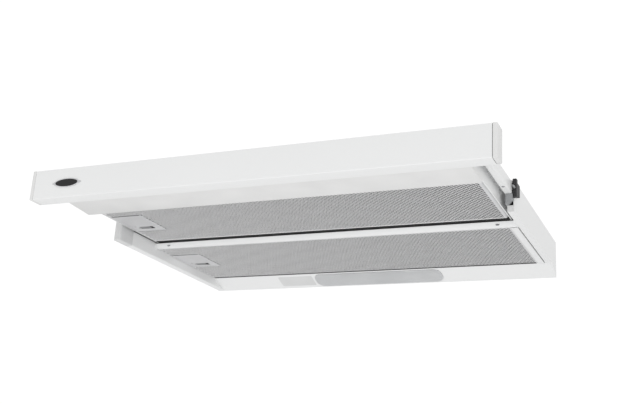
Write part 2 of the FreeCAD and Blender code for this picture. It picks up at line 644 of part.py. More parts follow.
def side_arms():
    """Make the two hollow arms that carry the tray and run on the case's glides."""
    screws = []
    for side, label in ((-1, "side_arm_left"), (1, "side_arm_right")):
        low, high = mirror(side, "arm_inner", "arm_outer")
        outer = Shaped(label + "_outer", (low, "tray_front", "arm_low"))
        outer.pad("XZ_Plane", [rectangle("0", "0", "arm_outer - arm_inner", "arm_high - arm_low")],
                  "arm_back - tray_front", back=True)
        outer.fillet("arm_round", "y", {"z": 0, "x": 1 if side > 0 else 0})
        wall = "arm_wall"
        bore = box(label + "_bore", (f"{low} + {wall}", f"{high} - {wall}"),
                   ("tray_front - 1", "arm_back + 1"), ("arm_low + arm_floor", f"arm_high - {wall}"))
        screw_at = (f"({low} + {high}) / 2", "guide_front - 2")
        hole = cylinder(label + "_hole", (*screw_at, "arm_low - 1"), "1.2", f"2 + {wall}")
        node(cut(label + "_cut", outer.body, bore, hole), label)
        head = cylinder(label + "_head", (*screw_at, "arm_low - 0.2"), "1.9", "0.2")
        shank = cylinder(label + "_shank", (*screw_at, "arm_low - 0.2"), "1.2", f"3 + {wall}")
        screws.append(fuse(label + "_screw", head, shank))
    node(group("arm_screw_group", screws), "arm_screws")


def controls():
    """Add the control box behind the fascia, with its speed and lamp slide knobs."""
    left, right = "control_right - control_length", "control_right"
    body = box("control_outer", (left, right), ("tray_front + 1", "tray_front + 1 + control_depth"),
               ("bar_high", "control_high"))
    middle = "tray_front + 1 + control_depth / 2"
    slots = []
    for name, label, start, run in (("speed", "speed_knob", "6", "speed_travel"),
                                    ("lamp", "lamp_knob", "41", "lamp_travel")):
        low = f"{left} + {start}"
        gap = "knob_clearance"
        slots.append(box(name + "_slot",
                         (f"{low} + 1.5 - {gap}", f"{low} + knob_length - 1.5 + {run} + {gap}"),
                         (f"{middle} - 1.5 - {gap}", f"{middle} + 1.5 + {gap}"),
                         ("control_high - 6", "control_high + 1")))
        cap = box(name + "_cap", (low, f"{low} + knob_length"),
                  (f"{middle} - knob_width / 2", f"{middle} + knob_width / 2"),
                  (f"control_high + {gap}", f"control_high + {gap} + knob_height"))
        stem = box(name + "_stem", (f"{low} + 1.5", f"{low} + knob_length - 1.5"),
                   (f"{middle} - 1.5", f"{middle} + 1.5"),
                   ("control_high - 5", f"control_high + {gap}"))
        node(fuse(name + "_fuse", cap, stem), label)
    window = box("control_window", (f"{left} + 2", f"{right} - 2"),
                 (f"{middle} - 12", f"{middle} + 12"),
                 ("tray_high - sheet_thick - 1", "tray_high + 1"))
    node(cut("control_cut", body, *slots), "control_box")
    return window


# ---------------------------------------------------------------- filters

def mesh_filter(prefix, side_face, pivot, front, back, low, latch_y):
    """Make one drop-out filter: frame with a round right-hand edge, mesh pack, latch and plate."""
    high = f"{low} + filter_thick"
    left = f"filter_side_gap - {side_face}"
    bead = "filter_thick / 2"
    edge = "filter_edge"
    outer = box(prefix + "_outer", (left, pivot), (front, back), (low, high))
    round_edge = cylinder(prefix + "_bead", (pivot, front, f"{low} + {bead}"), bead,
                          f"({back}) - ({front})", "y")
    hollow = box(prefix + "_hollow", (f"{left} + {edge}", f"{pivot} - 1"),
                 (f"{front} + {edge}", f"{back} - {edge}"), (f"{low} - 1", f"{high} + 1"))
    bar_low, bar_high = f"{low} + latch_inset_low", f"{low} + latch_inset_high"
    bar_y = (f"{latch_y} - latch_bar_depth / 2 - latch_clearance",
             f"{latch_y} + latch_bar_depth / 2 + latch_clearance")
    gate = box(prefix + "_gate", (f"{left} - 1", f"{left} + {edge} + 1"), bar_y, (bar_low, bar_high))
    node(cut(prefix + "_frame_cut", fuse(prefix + "_frame_fuse", outer, round_edge), hollow, gate),
         prefix + "_frame")

    gap = "mesh_clearance"
    inner_left, inner_right = f"{left} + {edge} + {gap}", f"{pivot} - 1 - {gap}"
    inner_y = (f"{front} + {edge} + {gap}", f"{back} - {edge} - {gap}")
    slab = box(prefix + "_slab", (inner_left, inner_right), inner_y,
               (f"{low} + 0.9", f"{low} + 0.9 + mesh_thick"))
    well_end = f"{inner_left} + latch_inset + latch_pad_length + latch_travel + 4"
    well = box(prefix + "_well", (f"{inner_left} - 1", well_end),
               (f"{latch_y} - latch_pad_depth / 2 - 1", f"{latch_y} + latch_pad_depth / 2 + 1"),
               (f"{low}", f"{low} + 5.4"))
    node(cut(prefix + "_mesh_cut", slab, well), prefix + "_mesh")

    plate = box(prefix + "_plate_box", (inner_left, f"{inner_left} + latch_plate_length"),
                (f"{latch_y} - latch_plate_depth * 0.8", f"{latch_y} + latch_plate_depth * 0.2"),
                (f"{low} - 0.1", f"{low} - 0.1 + latch_plate_thick"))
    pad_x = f"{inner_left} + latch_inset"
    window = box(prefix + "_window", (f"{pad_x} - 1", f"{pad_x} + latch_pad_length + latch_travel + 1"),
                 (f"{latch_y} - latch_pad_depth / 2 - 0.6", f"{latch_y} + latch_pad_depth / 2 + 0.6"),
                 (f"{low} - 1", f"{low} + 2"))
    node(cut(prefix + "_plate_cut", plate, window), prefix + "_latch_plate")

    pad = box(prefix + "_pad", (pad_x, f"{pad_x} + latch_pad_length"),
              (f"{latch_y} - latch_pad_depth / 2", f"{latch_y} + latch_pad_depth / 2"),
              (f"{low} + 0.5", f"{low} + 2.2"))
    bar = box(prefix + "_bar", (f"{left} - latch_catch", f"{pad_x} + latch_pad_length"),
              (f"{latch_y} - latch_bar_depth / 2", f"{latch_y} + latch_bar_depth / 2"),
              (f"{low} + 2.2", f"{low} + 2.2 + latch_bar_thick"))
    node(fuse(prefix + "_latch_fuse", pad, bar), prefix + "_latch")


# ---------------------------------------------------------------- upper housing and outlet

def motor_housing():
    """Fold the housing above the top plate, with its sloping front, flange and two openings."""
    def profile(inset):
        nose = "housing_nose" if inset == "0" else f"housing_nose - {inset} / 2"
        top = f"housing_top - case_height - {inset}"
        slope = "housing_slope" if inset == "0" else f"housing_slope + {inset} / 2"
        low = "0"
        return [(inset, low), (inset, nose), (slope, top), (f"housing_depth - {inset}", top),
                (f"housing_depth - {inset}", low)]
    corner = ("-housing_side", "housing_front", "case_height")
    outer = Shaped("housing_outer", corner)
    outer.pad("YZ_Plane", [profile("0")], "housing_width")
    inner = Shaped("housing_inner", ("sheet_thick - housing_side", "housing_front", "case_height"))
    inner.pad("YZ_Plane", [profile("sheet_thick")], "housing_width - 2 * sheet_thick")
    rim = "housing_flange"
    flange = box("housing_flange_plate", (f"-housing_side - {rim}", f"housing_side + {rim}"),
                 (f"housing_front - {rim}", f"housing_back + {rim}"),
                 ("case_height", "case_height + sheet_thick"))
    outlet = cylinder("housing_outlet", ("outlet_x", "-outlet_y", "housing_under - 1"),
                      "outlet_radius - outlet_wall", "5")
    gland = cylinder("housing_gland", ("gland_x", "housing_back - 5", "gland_height"),
                     "gland_radius", "9", "y")
    node(cut("housing_cut", fuse("housing_fuse", outer.body, flange), inner.body, outlet, gland),
         "motor_housing")


def outlet():
    """Turn the outlet collar and fit the two non-return flaps on their pin."""
    at = ("outlet_x", "-outlet_y")
    wall = cylinder("collar_wall", (*at, "housing_top"), "outlet_radius", "outlet_height")
    flange = cylinder("collar_flange", (*at, "housing_top"), "outlet_radius + outlet_flange",
                      "outlet_flange_thick")
    bore = cylinder("collar_bore", (*at, "housing_top + outlet_ledge_height"),
                    "outlet_radius - outlet_wall", "outlet_height")
    throat = cylinder("collar_throat", (*at, "housing_top - 1"),
                      "outlet_radius - outlet_wall - outlet_ledge", "outlet_height")
    half = "(outlet_radius - 0.4)"
    pin_start = ("outlet_x", f"-outlet_y - {half}", "flap_axis_height")
    eye = cylinder("collar_eye", pin_start, "flap_pin_radius", f"2 * {half}", "y")
    node(cut("collar_cut", fuse("collar_fuse", wall, flange), bore, throat, eye), "outlet_collar")
    node(cylinder("flap_pin_rod", pin_start, "flap_pin_radius", f"2 * {half}", "y"), "flap_pin")

    low = "flap_axis_height - flap_knuckle"
    for side, label, starts in ((-1, "flap_left", ("-38", "24")), (1, "flap_right", ("-22", "8"))):
        disc = cylinder(label + "_disc", (*at, low), "flap_radius", "flap_thick")
        near, far = "flap_knuckle + 0.4", "flap_radius + 1"
        half_x = (f"outlet_x + {near}", f"outlet_x + {far}") if side > 0 else \
                 (f"outlet_x - ({far})", f"outlet_x - ({near})")
        keep = box(label + "_keep", half_x, ("-outlet_y - flap_radius - 1", "-outlet_y + flap_radius + 1"),
                   (f"{low} - 1", f"{low} + 3"))
        pieces = [common(label + "_plate", disc, keep)]
        bores = []
        for number, start in enumerate(starts):
            at_y = f"{start} - outlet_y"
            pieces.append(cylinder(f"{label}_knuckle{number}", ("outlet_x", at_y, "flap_axis_height"),
                                   "flap_knuckle", "flap_knuckle_length", "y"))
            tab_x = ("outlet_x", f"outlet_x + {near} + 0.5") if side > 0 else \
                    (f"outlet_x - ({near}) - 0.5", "outlet_x")
            pieces.append(box(f"{label}_tab{number}", tab_x, (at_y, f"{at_y} + flap_knuckle_length"),
                              (low, f"{low} + flap_thick")))
            bores.append(cylinder(f"{label}_bore{number}", ("outlet_x", f"{at_y} - 1", "flap_axis_height"),
                                  "flap_pin_radius + pin_clearance", "flap_knuckle_length + 2", "y"))
        node(cut(label + "_cut", fuse(label + "_fuse", *pieces), *bores), label)


# ---------------------------------------------------------------- blower

def scroll():
    """Build the scroll round the fan, its cover and the duct up to the outlet."""
    def shell(name, inset, low, high):
        drum = cylinder(name + "_drum", ("scroll_x", "scroll_y", low), f"scroll_radius - {inset}",
                        f"({high}) - ({low})")
        mouth = box(name + "_mouth", ("scroll_x", f"duct_right - {inset}"),
                    (f"duct_front + {inset}", f"duct_rear - {inset}"), (low, high))
        return fuse(name, drum, mouth)
    outer = shell("scroll_outer", "0", "case_height", "scroll_high")
    inner = shell("scroll_inner", "scroll_wall", "case_height + scroll_wall", "scroll_high + 1")
    inlet = cylinder("scroll_inlet", ("-fan_x", "-fan_y", "case_height - 1"),
                     "inlet_radius", "scroll_wall + 2")
    node(cut("scroll_cut", outer, inner, inlet), "blower_scroll")

    lid = shell("cover_outline", "0", "scroll_high", "cover_high")
    keep = box("cover_keep", ("scroll_x - scroll_radius - 1", "duct_left"),
               ("scroll_y - scroll_radius - 1", "0"), ("scroll_high", "cover_high"))
    shaft_hole = cylinder("cover_hole", ("-fan_x", "-fan_y", "scroll_high - 1"), "shaft_radius + 4",
                          "cover_thick + 2")
    node(cut("cover_cut", common("cover_part", lid, keep), shaft_hole), "scroll_cover")

    across, wall = ("duct_left", "duct_right"), "scroll_wall"
    chimney = box("duct_outer", across, ("duct_front", "duct_rear"), ("scroll_high", "housing_under"))
    flue = box("duct_inner", (f"duct_left + {wall}", f"duct_right - {wall}"),
               (f"duct_front + {wall}", f"duct_rear - {wall}"), ("scroll_high - 1", "housing_under + 1"))
    node(cut("duct_cut", chimney, flue), "outlet_duct")


def fan():
    """Mould the fan wheel: back plate, ring of blades, inlet ring and hub on the shaft."""
    corner = ("-fan_x", "-fan_y", "fan_low")
    wheel = Shaped("fan_wheel_body", corner)
    height = "fan_high - fan_low"
    plate_at = f"{height} - fan_plate"
    wheel.pad("XY_Plane", [("0", "0", "fan_radius")], "fan_plate", lift=plate_at)
    wheel.pad("XY_Plane", [("0", "0", "hub_radius")], "hub_height", lift=f"{height} - hub_height")
    inner = "fan_radius - fan_ring_width"
    blade = wheel.pad("XY_Plane", [[(inner, "0"), (f"{inner} + 0.4", "blade_thick"),
                                    ("fan_radius - 0.9", "blade_thick + 4.5"),
                                    ("fan_radius - 0.6", "4.4")]],
                      f"{height} - fan_plate")
    doc.recompute()
    pattern = wheel.body.newObject("PartDesign::PolarPattern", "fan_blades")
    pattern.Originals = [blade]
    axes = [item for item in wheel.body.Origin.OriginFeatures if item.Role == "Z_Axis"]
    pattern.Axis = (axes[0], [""])
    bind(pattern, "Occurrences", "blade_count")
    wheel.body.Tip = pattern
    wheel.pad("XY_Plane", [("0", "0", "fan_radius"), ("0", "0", f"{inner} + 1")], "fan_ring_height")
    wheel.pocket("XY_Plane", [("0", "0", "shaft_radius")], f"{height} + 1", back=True)
    node(wheel.body, "fan_wheel")
    node(cylinder("motor_shaft_rod", ("-fan_x", "-fan_y", "shaft_low"), "shaft_radius",
                  "shaft_high - shaft_low"), "motor_shaft")


def motor():
    """Add the motor on its grommets, the run capacitor, the terminal box and the cable gland."""
    can = cylinder("motor_can", ("-fan_x", "-fan_y", "motor_low"), "motor_radius", "motor_high - motor_low")
    bearing = cylinder("motor_bearing", ("-fan_x", "-fan_y", "motor_low - 1"),
                       "shaft_radius + pin_clearance", "shaft_high - motor_low + 2")
    node(cut("motor_cut", can, bearing), "motor_body")
    grommets = []
    for number in range(3):
        angle = f"{120 * number + 90} deg"
        grommets.append(cylinder(f"grommet{number}", (f"grommet_circle * cos({angle}) - fan_x",
                                                      f"grommet_circle * sin({angle}) - fan_y", "cover_high"),
                                 "grommet_radius", "grommet_height"))
    node(group("grommet_group", grommets), "motor_grommets")
    node(cylinder("capacitor_can", ("capacitor_x", "-capacitor_y", "case_height + capacitor_radius"),
                  "capacitor_radius", "capacitor_length", "x"), "capacitor")
    node(box("terminal_case", ("terminal_x", "terminal_x + terminal_length"),
             ("-terminal_y", "terminal_depth - terminal_y"), ("case_height", "case_height + terminal_height")),
         "terminal_box")
    start = ("gland_x", "housing_back - gland_length / 2", "gland_height")
    barrel = cylinder("gland_barrel", start, "gland_radius", "gland_length", "y")
    passage = cylinder("gland_passage", ("gland_x", "housing_back - gland_length / 2 - 1", "gland_height"),
                       "gland_bore", "gland_length + 2", "y")
    node(cut("gland_cut", barrel, passage), "cable_gland")


def slide_switch():
    """Add the switch on the right-hand wall, its plunger and the fascia's striker that presses it."""
    wall, out = "case_side", "case_side - 0.7 + switch_width"
    front = box("switch_front", (f"{wall} - 0.7", out), ("-case_depth - switch_depth", "-case_depth"),
                ("switch_low", "switch_high"))
    tail = box("switch_tail", (wall, out), ("-case_depth", "12 - case_depth"),
               ("switch_low + 4", "switch_high - 4"))
    middle = "case_side - 0.7 + switch_width / 2"
    well = cylinder("switch_well", (middle, "-case_depth - switch_depth - 1", "plunger_height"),
                    "plunger_radius + pin_clearance", "switch_depth + 0.8", "y")
    node(cut("switch_cut", fuse("switch_fuse", front, tail), well), "slide_switch")
    tip = "fascia_back + striker_length + 0.2 + travel + striker_gap - plunger_travel"
    node(cylinder("plunger_rod", (middle, tip, "plunger_height"), "plunger_radius",
                  "plunger_length", "y"), "switch_plunger")
    half = "striker_width / 2"
    node(box("striker_bar", (f"{middle} - {half}", f"{middle} + {half}"),
             ("fascia_front + fascia_wall", "fascia_back + 0.2 + striker_length"),
             (f"plunger_height - {half}", f"plunger_height + {half}")), "striker")


side_panels()
case_plates()
guide_caps()
side_glides()
crossbar()
lamp_panel()
lamp_lens()
lamp_inside()
fascia()
badge()
front_bar()
tray(controls())
side_arms()
mesh_filter("front_filter", "tray_inside", "tray_inside - filter_side_gap - filter_thick / 2",
            "front_filter_front", "front_filter_back", "front_filter_low", "front_latch_y")
mesh_filter("rear_filter", "rim_face", "ledge_in - hinge_gap",
            "rear_filter_front", "rear_filter_back", "rear_filter_low", "rear_latch_y")
motor_housing()
outlet()
scroll()
fan()
motor()
slide_switch()
doc.recompute()

for thing in doc.Objects:
    if "Invalid" in thing.State or "Error" in thing.State:
        raise RuntimeError(f"{thing.Name} did not build: {thing.State}")
os.makedirs("parts", exist_ok=True)
for piece in NODES:
    if piece.Shape.isNull() or not piece.Shape.isValid() or not piece.Shape.Solids:
        raise RuntimeError(f"{piece.Label} is not a valid solid")
    piece.Shape.exportStep(f"parts/{piece.Label}.step")
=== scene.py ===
"""A telescopic under-cabinet range hood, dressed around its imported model, with its slider pulled out."""

from __future__ import annotations

import logging
import math
from dataclasses import dataclass, field
from enum import Enum
from typing import Callable, Iterable, Union

import bpy
from mathutils import Matrix, Vector


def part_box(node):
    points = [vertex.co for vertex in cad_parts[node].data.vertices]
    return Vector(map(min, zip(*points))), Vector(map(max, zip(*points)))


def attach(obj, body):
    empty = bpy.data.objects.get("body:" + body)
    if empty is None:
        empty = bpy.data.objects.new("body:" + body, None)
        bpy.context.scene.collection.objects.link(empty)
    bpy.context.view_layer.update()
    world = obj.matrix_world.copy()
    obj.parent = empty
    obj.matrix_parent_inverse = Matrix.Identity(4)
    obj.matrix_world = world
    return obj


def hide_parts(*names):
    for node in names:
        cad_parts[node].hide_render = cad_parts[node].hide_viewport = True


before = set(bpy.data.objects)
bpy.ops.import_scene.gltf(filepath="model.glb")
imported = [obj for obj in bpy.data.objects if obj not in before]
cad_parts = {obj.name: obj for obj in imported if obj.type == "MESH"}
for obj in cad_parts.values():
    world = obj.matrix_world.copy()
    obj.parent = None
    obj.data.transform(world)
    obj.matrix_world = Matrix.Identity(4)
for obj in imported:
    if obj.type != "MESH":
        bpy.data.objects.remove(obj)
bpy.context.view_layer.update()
LOG = logging.getLogger("range_hood")
MM = 0.001
Colour = tuple[float, float, float]
Number = Union[float, "Signal"]


# ---- shader graph


class Signal:
    """One shader socket that takes part in Python arithmetic."""

    def __init__(self, graph: Graph, socket: bpy.types.NodeSocket) -> None:
        """Keep the graph that the socket belongs to."""
        self.graph = graph
        self.socket = socket

    def maths(self, operation: str, first: Number, second: Number = 0.0) -> Signal:
        """Add one Math node.

        Args:
            operation: the Math node's operation.
            first: its first value or link.
            second: its second value or link.

        Returns:
            The node's result.
        """
        return self.graph.signal("ShaderNodeMath", {"operation": operation}, {0: first, 1: second})

    def __add__(self, other: Number) -> Signal:
        """Add."""
        return self.maths("ADD", self, other)

    __radd__ = __add__

    def __mul__(self, other: Number) -> Signal:
        """Multiply."""
        return self.maths("MULTIPLY", self, other)

    __rmul__ = __mul__

    def __sub__(self, other: Number) -> Signal:
        """Subtract."""
        return self.maths("SUBTRACT", self, other)

    def __rsub__(self, other: Number) -> Signal:
        """Subtract from a number."""
        return self.maths("SUBTRACT", other, self)

    def __gt__(self, other: Number) -> Signal:
        """Give 1 where this is the greater."""
        return self.maths("GREATER_THAN", self, other)

    def sine(self) -> Signal:
        """Take the sine."""
        return self.maths("SINE", self)

    def least(self, other: Number) -> Signal:
        """Take the smaller."""
        return self.maths("MINIMUM", self, other)

    def size(self) -> Signal:
        """Drop the sign."""
        return self.maths("ABSOLUTE", self)


class Graph:
    """The node tree of one material, with a Principled shader at its end."""

    def __init__(self, name: str) -> None:
        """Make an empty material of that name."""
        self.material = bpy.data.materials.new(name)
        self.material.use_nodes = True
        self.tree = self.material.node_tree
        self.tree.nodes.clear()
        self.shader = self.tree.nodes.new("ShaderNodeBsdfPrincipled")
        output = self.tree.nodes.new("ShaderNodeOutputMaterial")
        self.tree.links.new(self.shader.outputs[0], output.inputs["Surface"])

    def node(self, kind: str, settings: dict[str, object], inputs: dict[object, object]) -> bpy.types.Node:
        """Add one node.

        Args:
            kind: the node's type.
            settings: its properties, or a ramp's stops under "stops".
            inputs: values or links for its sockets, by name or number.

        Returns:
            The new node.
        """
        made = self.tree.nodes.new(kind)
        for key, value in settings.items():
            if key == "stops":
                ramp = made.color_ramp
                for number, (place, shade) in enumerate(value):
                    stop = ramp.elements[number] if number < 2 else ramp.elements.new(place)
                    stop.position = place
                    stop.color = (*shade, 1.0)
            else:
                setattr(made, key, value)
        for key, value in inputs.items():
            self.feed(made.inputs[key], value)
        return made

    def signal(self, kind: str, settings: dict[str, object], inputs: dict[object, object],
               output: object = 0) -> Signal:
        """Add one node and take one of its outputs."""
        return Signal(self, self.node(kind, settings, inputs).outputs[output])

    def feed(self, socket: bpy.types.NodeSocket, value: object) -> None:
        """Link a signal to a socket, or set the socket to a value."""
        if isinstance(value, Signal):
            self.tree.links.new(value.socket, socket)
        elif isinstance(value, tuple) and len(value) == 3 and socket.type == "RGBA":
            socket.default_value = (*value, 1.0)
        else:
            socket.default_value = value

    def place(self, scale: Colour = (1.0, 1.0, 1.0), turn: float = 0.0) -> Signal:
        """Read Object coordinates, scaled and turned about Z."""
        where = self.signal("ShaderNodeTexCoord", {}, {}, "Object")
        return self.signal("ShaderNodeMapping", {}, {"Vector": where, "Scale": scale,
                                                     "Rotation": (0.0, 0.0, turn)})

    def noise(self, scale: float, detail: float = 2.0, where: Signal | None = None) -> Signal:
        """Add noise of a number of spots to the metre."""
        spot = where or self.place()
        return self.signal("ShaderNodeTexNoise", {}, {"Vector": spot, "Scale": scale, "Detail": detail}, 0)

    def blend(self, factor: Number, first: object, second: object) -> Signal:
        """Mix two colours."""
        return self.signal("ShaderNodeMix", {"data_type": "RGBA"}, {0: factor, 6: first, 7: second}, 2)

    def relief(self, height: Number, depth: float, strength: float = 1.0) -> None:
        """Feed a height, in shares of a depth in metres, to the shader's normal."""
        bump = self.signal("ShaderNodeBump", {}, {"Height": height, "Distance": depth, "Strength": strength},
                           "Normal")
        self.feed(self.shader.inputs["Normal"], bump)

    def finish(self, **sockets: object) -> bpy.types.Material:
        """Set the shader's sockets, underscores standing for spaces, and return the material."""
        for name, value in sockets.items():
            self.feed(self.shader.inputs[name.replace("_", " ")], value)
        return self.material


# ---- finishes


@dataclass(frozen=True)
class Enamel:
    """Baked enamel on sheet steel: faint orange peel, faint clouding and finger marks."""

    name: str
    colour: Colour = (0.86, 0.865, 0.865)
    shade: Colour = (0.835, 0.84, 0.84)
    roughness: float = 0.34
    peel: float = 0.00003

    def material(self) -> bpy.types.Material:
        """Build the material."""
        graph = Graph(self.name)
        cloud = graph.noise(7.0, 3.0)
        smear = graph.noise(38.0, 4.0, graph.place((1.0, 2.6, 1.0), 0.5))
        graph.relief(graph.noise(620.0, 1.0) * 0.7 + graph.noise(2100.0, 1.0) * 0.3, self.peel)
        return graph.finish(Base_Color=graph.blend(cloud * 0.55, self.colour, self.shade),
                            Roughness=smear * 0.08 + (self.roughness - 0.04), IOR=1.5,
                            Coat_Weight=0.25, Coat_Roughness=0.12)


@dataclass(frozen=True)
class Moulding:
    """Moulded plastic with a fine spark-eroded grain."""

    name: str
    colour: Colour
    roughness: float = 0.42
    grain: float = 0.00004
    pitch: float = 1500.0

    def material(self) -> bpy.types.Material:
        """Build the material."""
        graph = Graph(self.name)
        cloud = graph.noise(24.0, 3.0)
        dark = tuple(channel * 0.86 for channel in self.colour)
        graph.relief(graph.noise(self.pitch, 2.0), self.grain)
        return graph.finish(Base_Color=graph.blend(cloud, dark, self.colour),
                            Roughness=cloud * 0.14 + (self.roughness - 0.07), IOR=1.48)


@dataclass(frozen=True)
class MeshMetal:
    """Bare aluminium, dulled, with tiny scratches along the roll."""

    name: str
    colour: Colour = (0.72, 0.72, 0.73)
    shade: Colour = (0.55, 0.55, 0.56)
    roughness: float = 0.42
    metallic: float = 0.75

    def material(self) -> bpy.types.Material:
        """Build the material."""
        graph = Graph(self.name)
        scratch = graph.noise(160.0, 4.0, graph.place((0.25, 4.0, 4.0)))
        cloud = graph.noise(30.0, 3.0)
        graph.relief(scratch, 0.00003)
        return graph.finish(Base_Color=graph.blend(cloud, self.shade, self.colour),
                            Metallic=self.metallic, Roughness=scratch * 0.2 + (self.roughness - 0.1))


def strand_families(graph: Graph, pitch_x: float, pitch_y: float, turn: float = 0.0) -> tuple[Signal, Signal]:
    """Measure how far a point lies from the two families of slanting strands in a slit sheet.

    Args:
        graph: the graph to draw in.
        pitch_x: the diamond's size along X, in millimetres.
        pitch_y: the diamond's size along Y, in millimetres.
        turn: the sheet's turn about Z.

    Returns:
        For each family, 0 on a strand's middle and 1 midway between strands.
    """
    split = graph.node("ShaderNodeSeparateXYZ", {}, {0: graph.place(turn=turn)})
    across = Signal(graph, split.outputs[0]) * (math.pi / (pitch_x * MM))
    along = Signal(graph, split.outputs[1]) * (math.pi / (pitch_y * MM))
    return (across + along).sine().size(), (across - along).sine().size()


@dataclass(frozen=True)
class StrandMetal:
    """Slit and stretched aluminium, whose strands lean so that one family catches more light: that family is
    painted light and the other painted shade.
    """

    name: str
    pitch_x: float = 4.8
    pitch_y: float = 9.6
    lit: Colour = (0.96, 0.96, 0.96)
    painted_shade_tone: Colour = (0.54, 0.54, 0.55)

    def material(self) -> bpy.types.Material:
        """Build the material."""
        graph = Graph(self.name)
        rising, falling = strand_families(graph, self.pitch_x, self.pitch_y)
        speck = graph.noise(260.0, 3.0)
        # Painted light and shade: points nearer the second family of strands take the light colour, points
        # nearer the first take the shaded one.
        painted_lit_family = (rising > falling) * 0.8 + speck * 0.2
        graph.relief(speck, 0.0001)
        return graph.finish(Base_Color=graph.blend(painted_lit_family, self.painted_shade_tone, self.lit), Metallic=0.15,
                            Roughness=speck * 0.2 + 0.35)


@dataclass(frozen=True)
class MeshPack:
    """The deeper layers of a filter pack, seen between the strands of its outer sheet, painted as lit strands
    over near-black gaps of painted shade.
    """

    name: str
    pitch_x: float = 4.8
    pitch_y: float = 9.6
    dark: Colour = (0.055, 0.055, 0.058)
    light: Colour = (0.62, 0.62, 0.63)

    def material(self) -> bpy.types.Material:
        """Build the material."""
        graph = Graph(self.name)
        rising, falling = strand_families(graph, self.pitch_x * 0.5, self.pitch_y * 0.5, 0.06)
        strands = 1.0 - rising.least(falling)
        speck = graph.noise(420.0, 3.0)
        height = strands * 0.8 + speck * 0.2
        graph.relief(height, 0.0006, 0.8)
        # Painted shade: the colour falls to near-black between the strands, for the depth behind them.
        lit = strands * strands * (speck * 0.8 + 0.6)
        return graph.finish(Base_Color=graph.blend(lit, self.dark, self.light), Metallic=0.35,
                            Roughness=0.75 - strands * 0.2)


@dataclass(frozen=True)
class Galvanised:
    """Zinc-coated sheet with its flake pattern."""

    name: str
    colour: Colour = (0.68, 0.69, 0.71)
    shade: Colour = (0.54, 0.55, 0.57)

    def material(self) -> bpy.types.Material:
        """Build the material."""
        graph = Graph(self.name)
        flake = graph.signal("ShaderNodeTexVoronoi", {"feature": "F1"},
                             {"Vector": graph.place(), "Scale": 95.0}, "Color")
        tone = graph.signal("ShaderNodeSeparateColor", {}, {0: flake}, 0)
        haze = graph.noise(16.0, 4.0)
        graph.relief(tone * 0.5 + graph.noise(500.0) * 0.5, 0.00002)
        return graph.finish(Base_Color=graph.blend(tone * 0.7 + haze * 0.3, self.shade, self.colour),
                            Metallic=0.85, Roughness=tone * 0.12 + haze * 0.16 + 0.26)


@dataclass(frozen=True)
class Foam:
    """Black closed-cell foam, here also standing as painted shade in dark gaps."""

    name: str
    colour: Colour = (0.020, 0.020, 0.021)

    def material(self) -> bpy.types.Material:
        """Build the material."""
        graph = Graph(self.name)
        cells = graph.signal("ShaderNodeTexVoronoi", {"feature": "F1"},
                             {"Vector": graph.place(), "Scale": 1400.0}, "Distance")
        graph.relief(cells, 0.0002)
        return graph.finish(Base_Color=graph.blend(cells, (0.008, 0.008, 0.008), self.colour), Roughness=0.9)


@dataclass(frozen=True)
class Frosted:
    """Ribbed translucent plastic, as a lamp lens has."""

    name: str
    colour: Colour = (0.55, 0.56, 0.57)
    clear: Colour = (0.66, 0.67, 0.68)
    rib: float = 2.6

    def material(self) -> bpy.types.Material:
        """Build the material."""
        graph = Graph(self.name)
        split = graph.node("ShaderNodeSeparateXYZ", {}, {0: graph.place()})
        ribs = (Signal(graph, split.outputs[0]) * (2 * math.pi / (self.rib * MM))).sine() * 0.5 + 0.5
        cloud = graph.noise(20.0, 2.0)
        graph.relief(ribs * 0.8 + graph.noise(900.0) * 0.2, 0.00025, 0.7)
        return graph.finish(Base_Color=graph.blend(cloud, self.colour, self.clear),
                            Roughness=cloud * 0.1 + 0.3, Transmission_Weight=0.25, IOR=1.49)


@dataclass(frozen=True)
class Plated:
    """Bright plated or turned steel with fine marks."""

    name: str
    colour: Colour = (0.74, 0.74, 0.76)
    roughness: float = 0.2

    def material(self) -> bpy.types.Material:
        """Build the material."""
        graph = Graph(self.name)
        mark = graph.noise(700.0, 3.0)
        graph.relief(mark, 0.00002)
        return graph.finish(Base_Color=graph.blend(mark * 0.5, self.colour, (0.5, 0.5, 0.52)),
                            Metallic=1.0, Roughness=mark * 0.12 + self.roughness)


@dataclass(frozen=True)
class BulbGlass:
    """Clear bulb glass with a faint haze."""

    name: str

    def material(self) -> bpy.types.Material:
        """Build the material."""
        graph = Graph(self.name)
        return graph.finish(Base_Color=(0.98, 0.98, 0.96), Roughness=graph.noise(60.0) * 0.06 + 0.02,
                            Transmission_Weight=1.0, IOR=1.45)


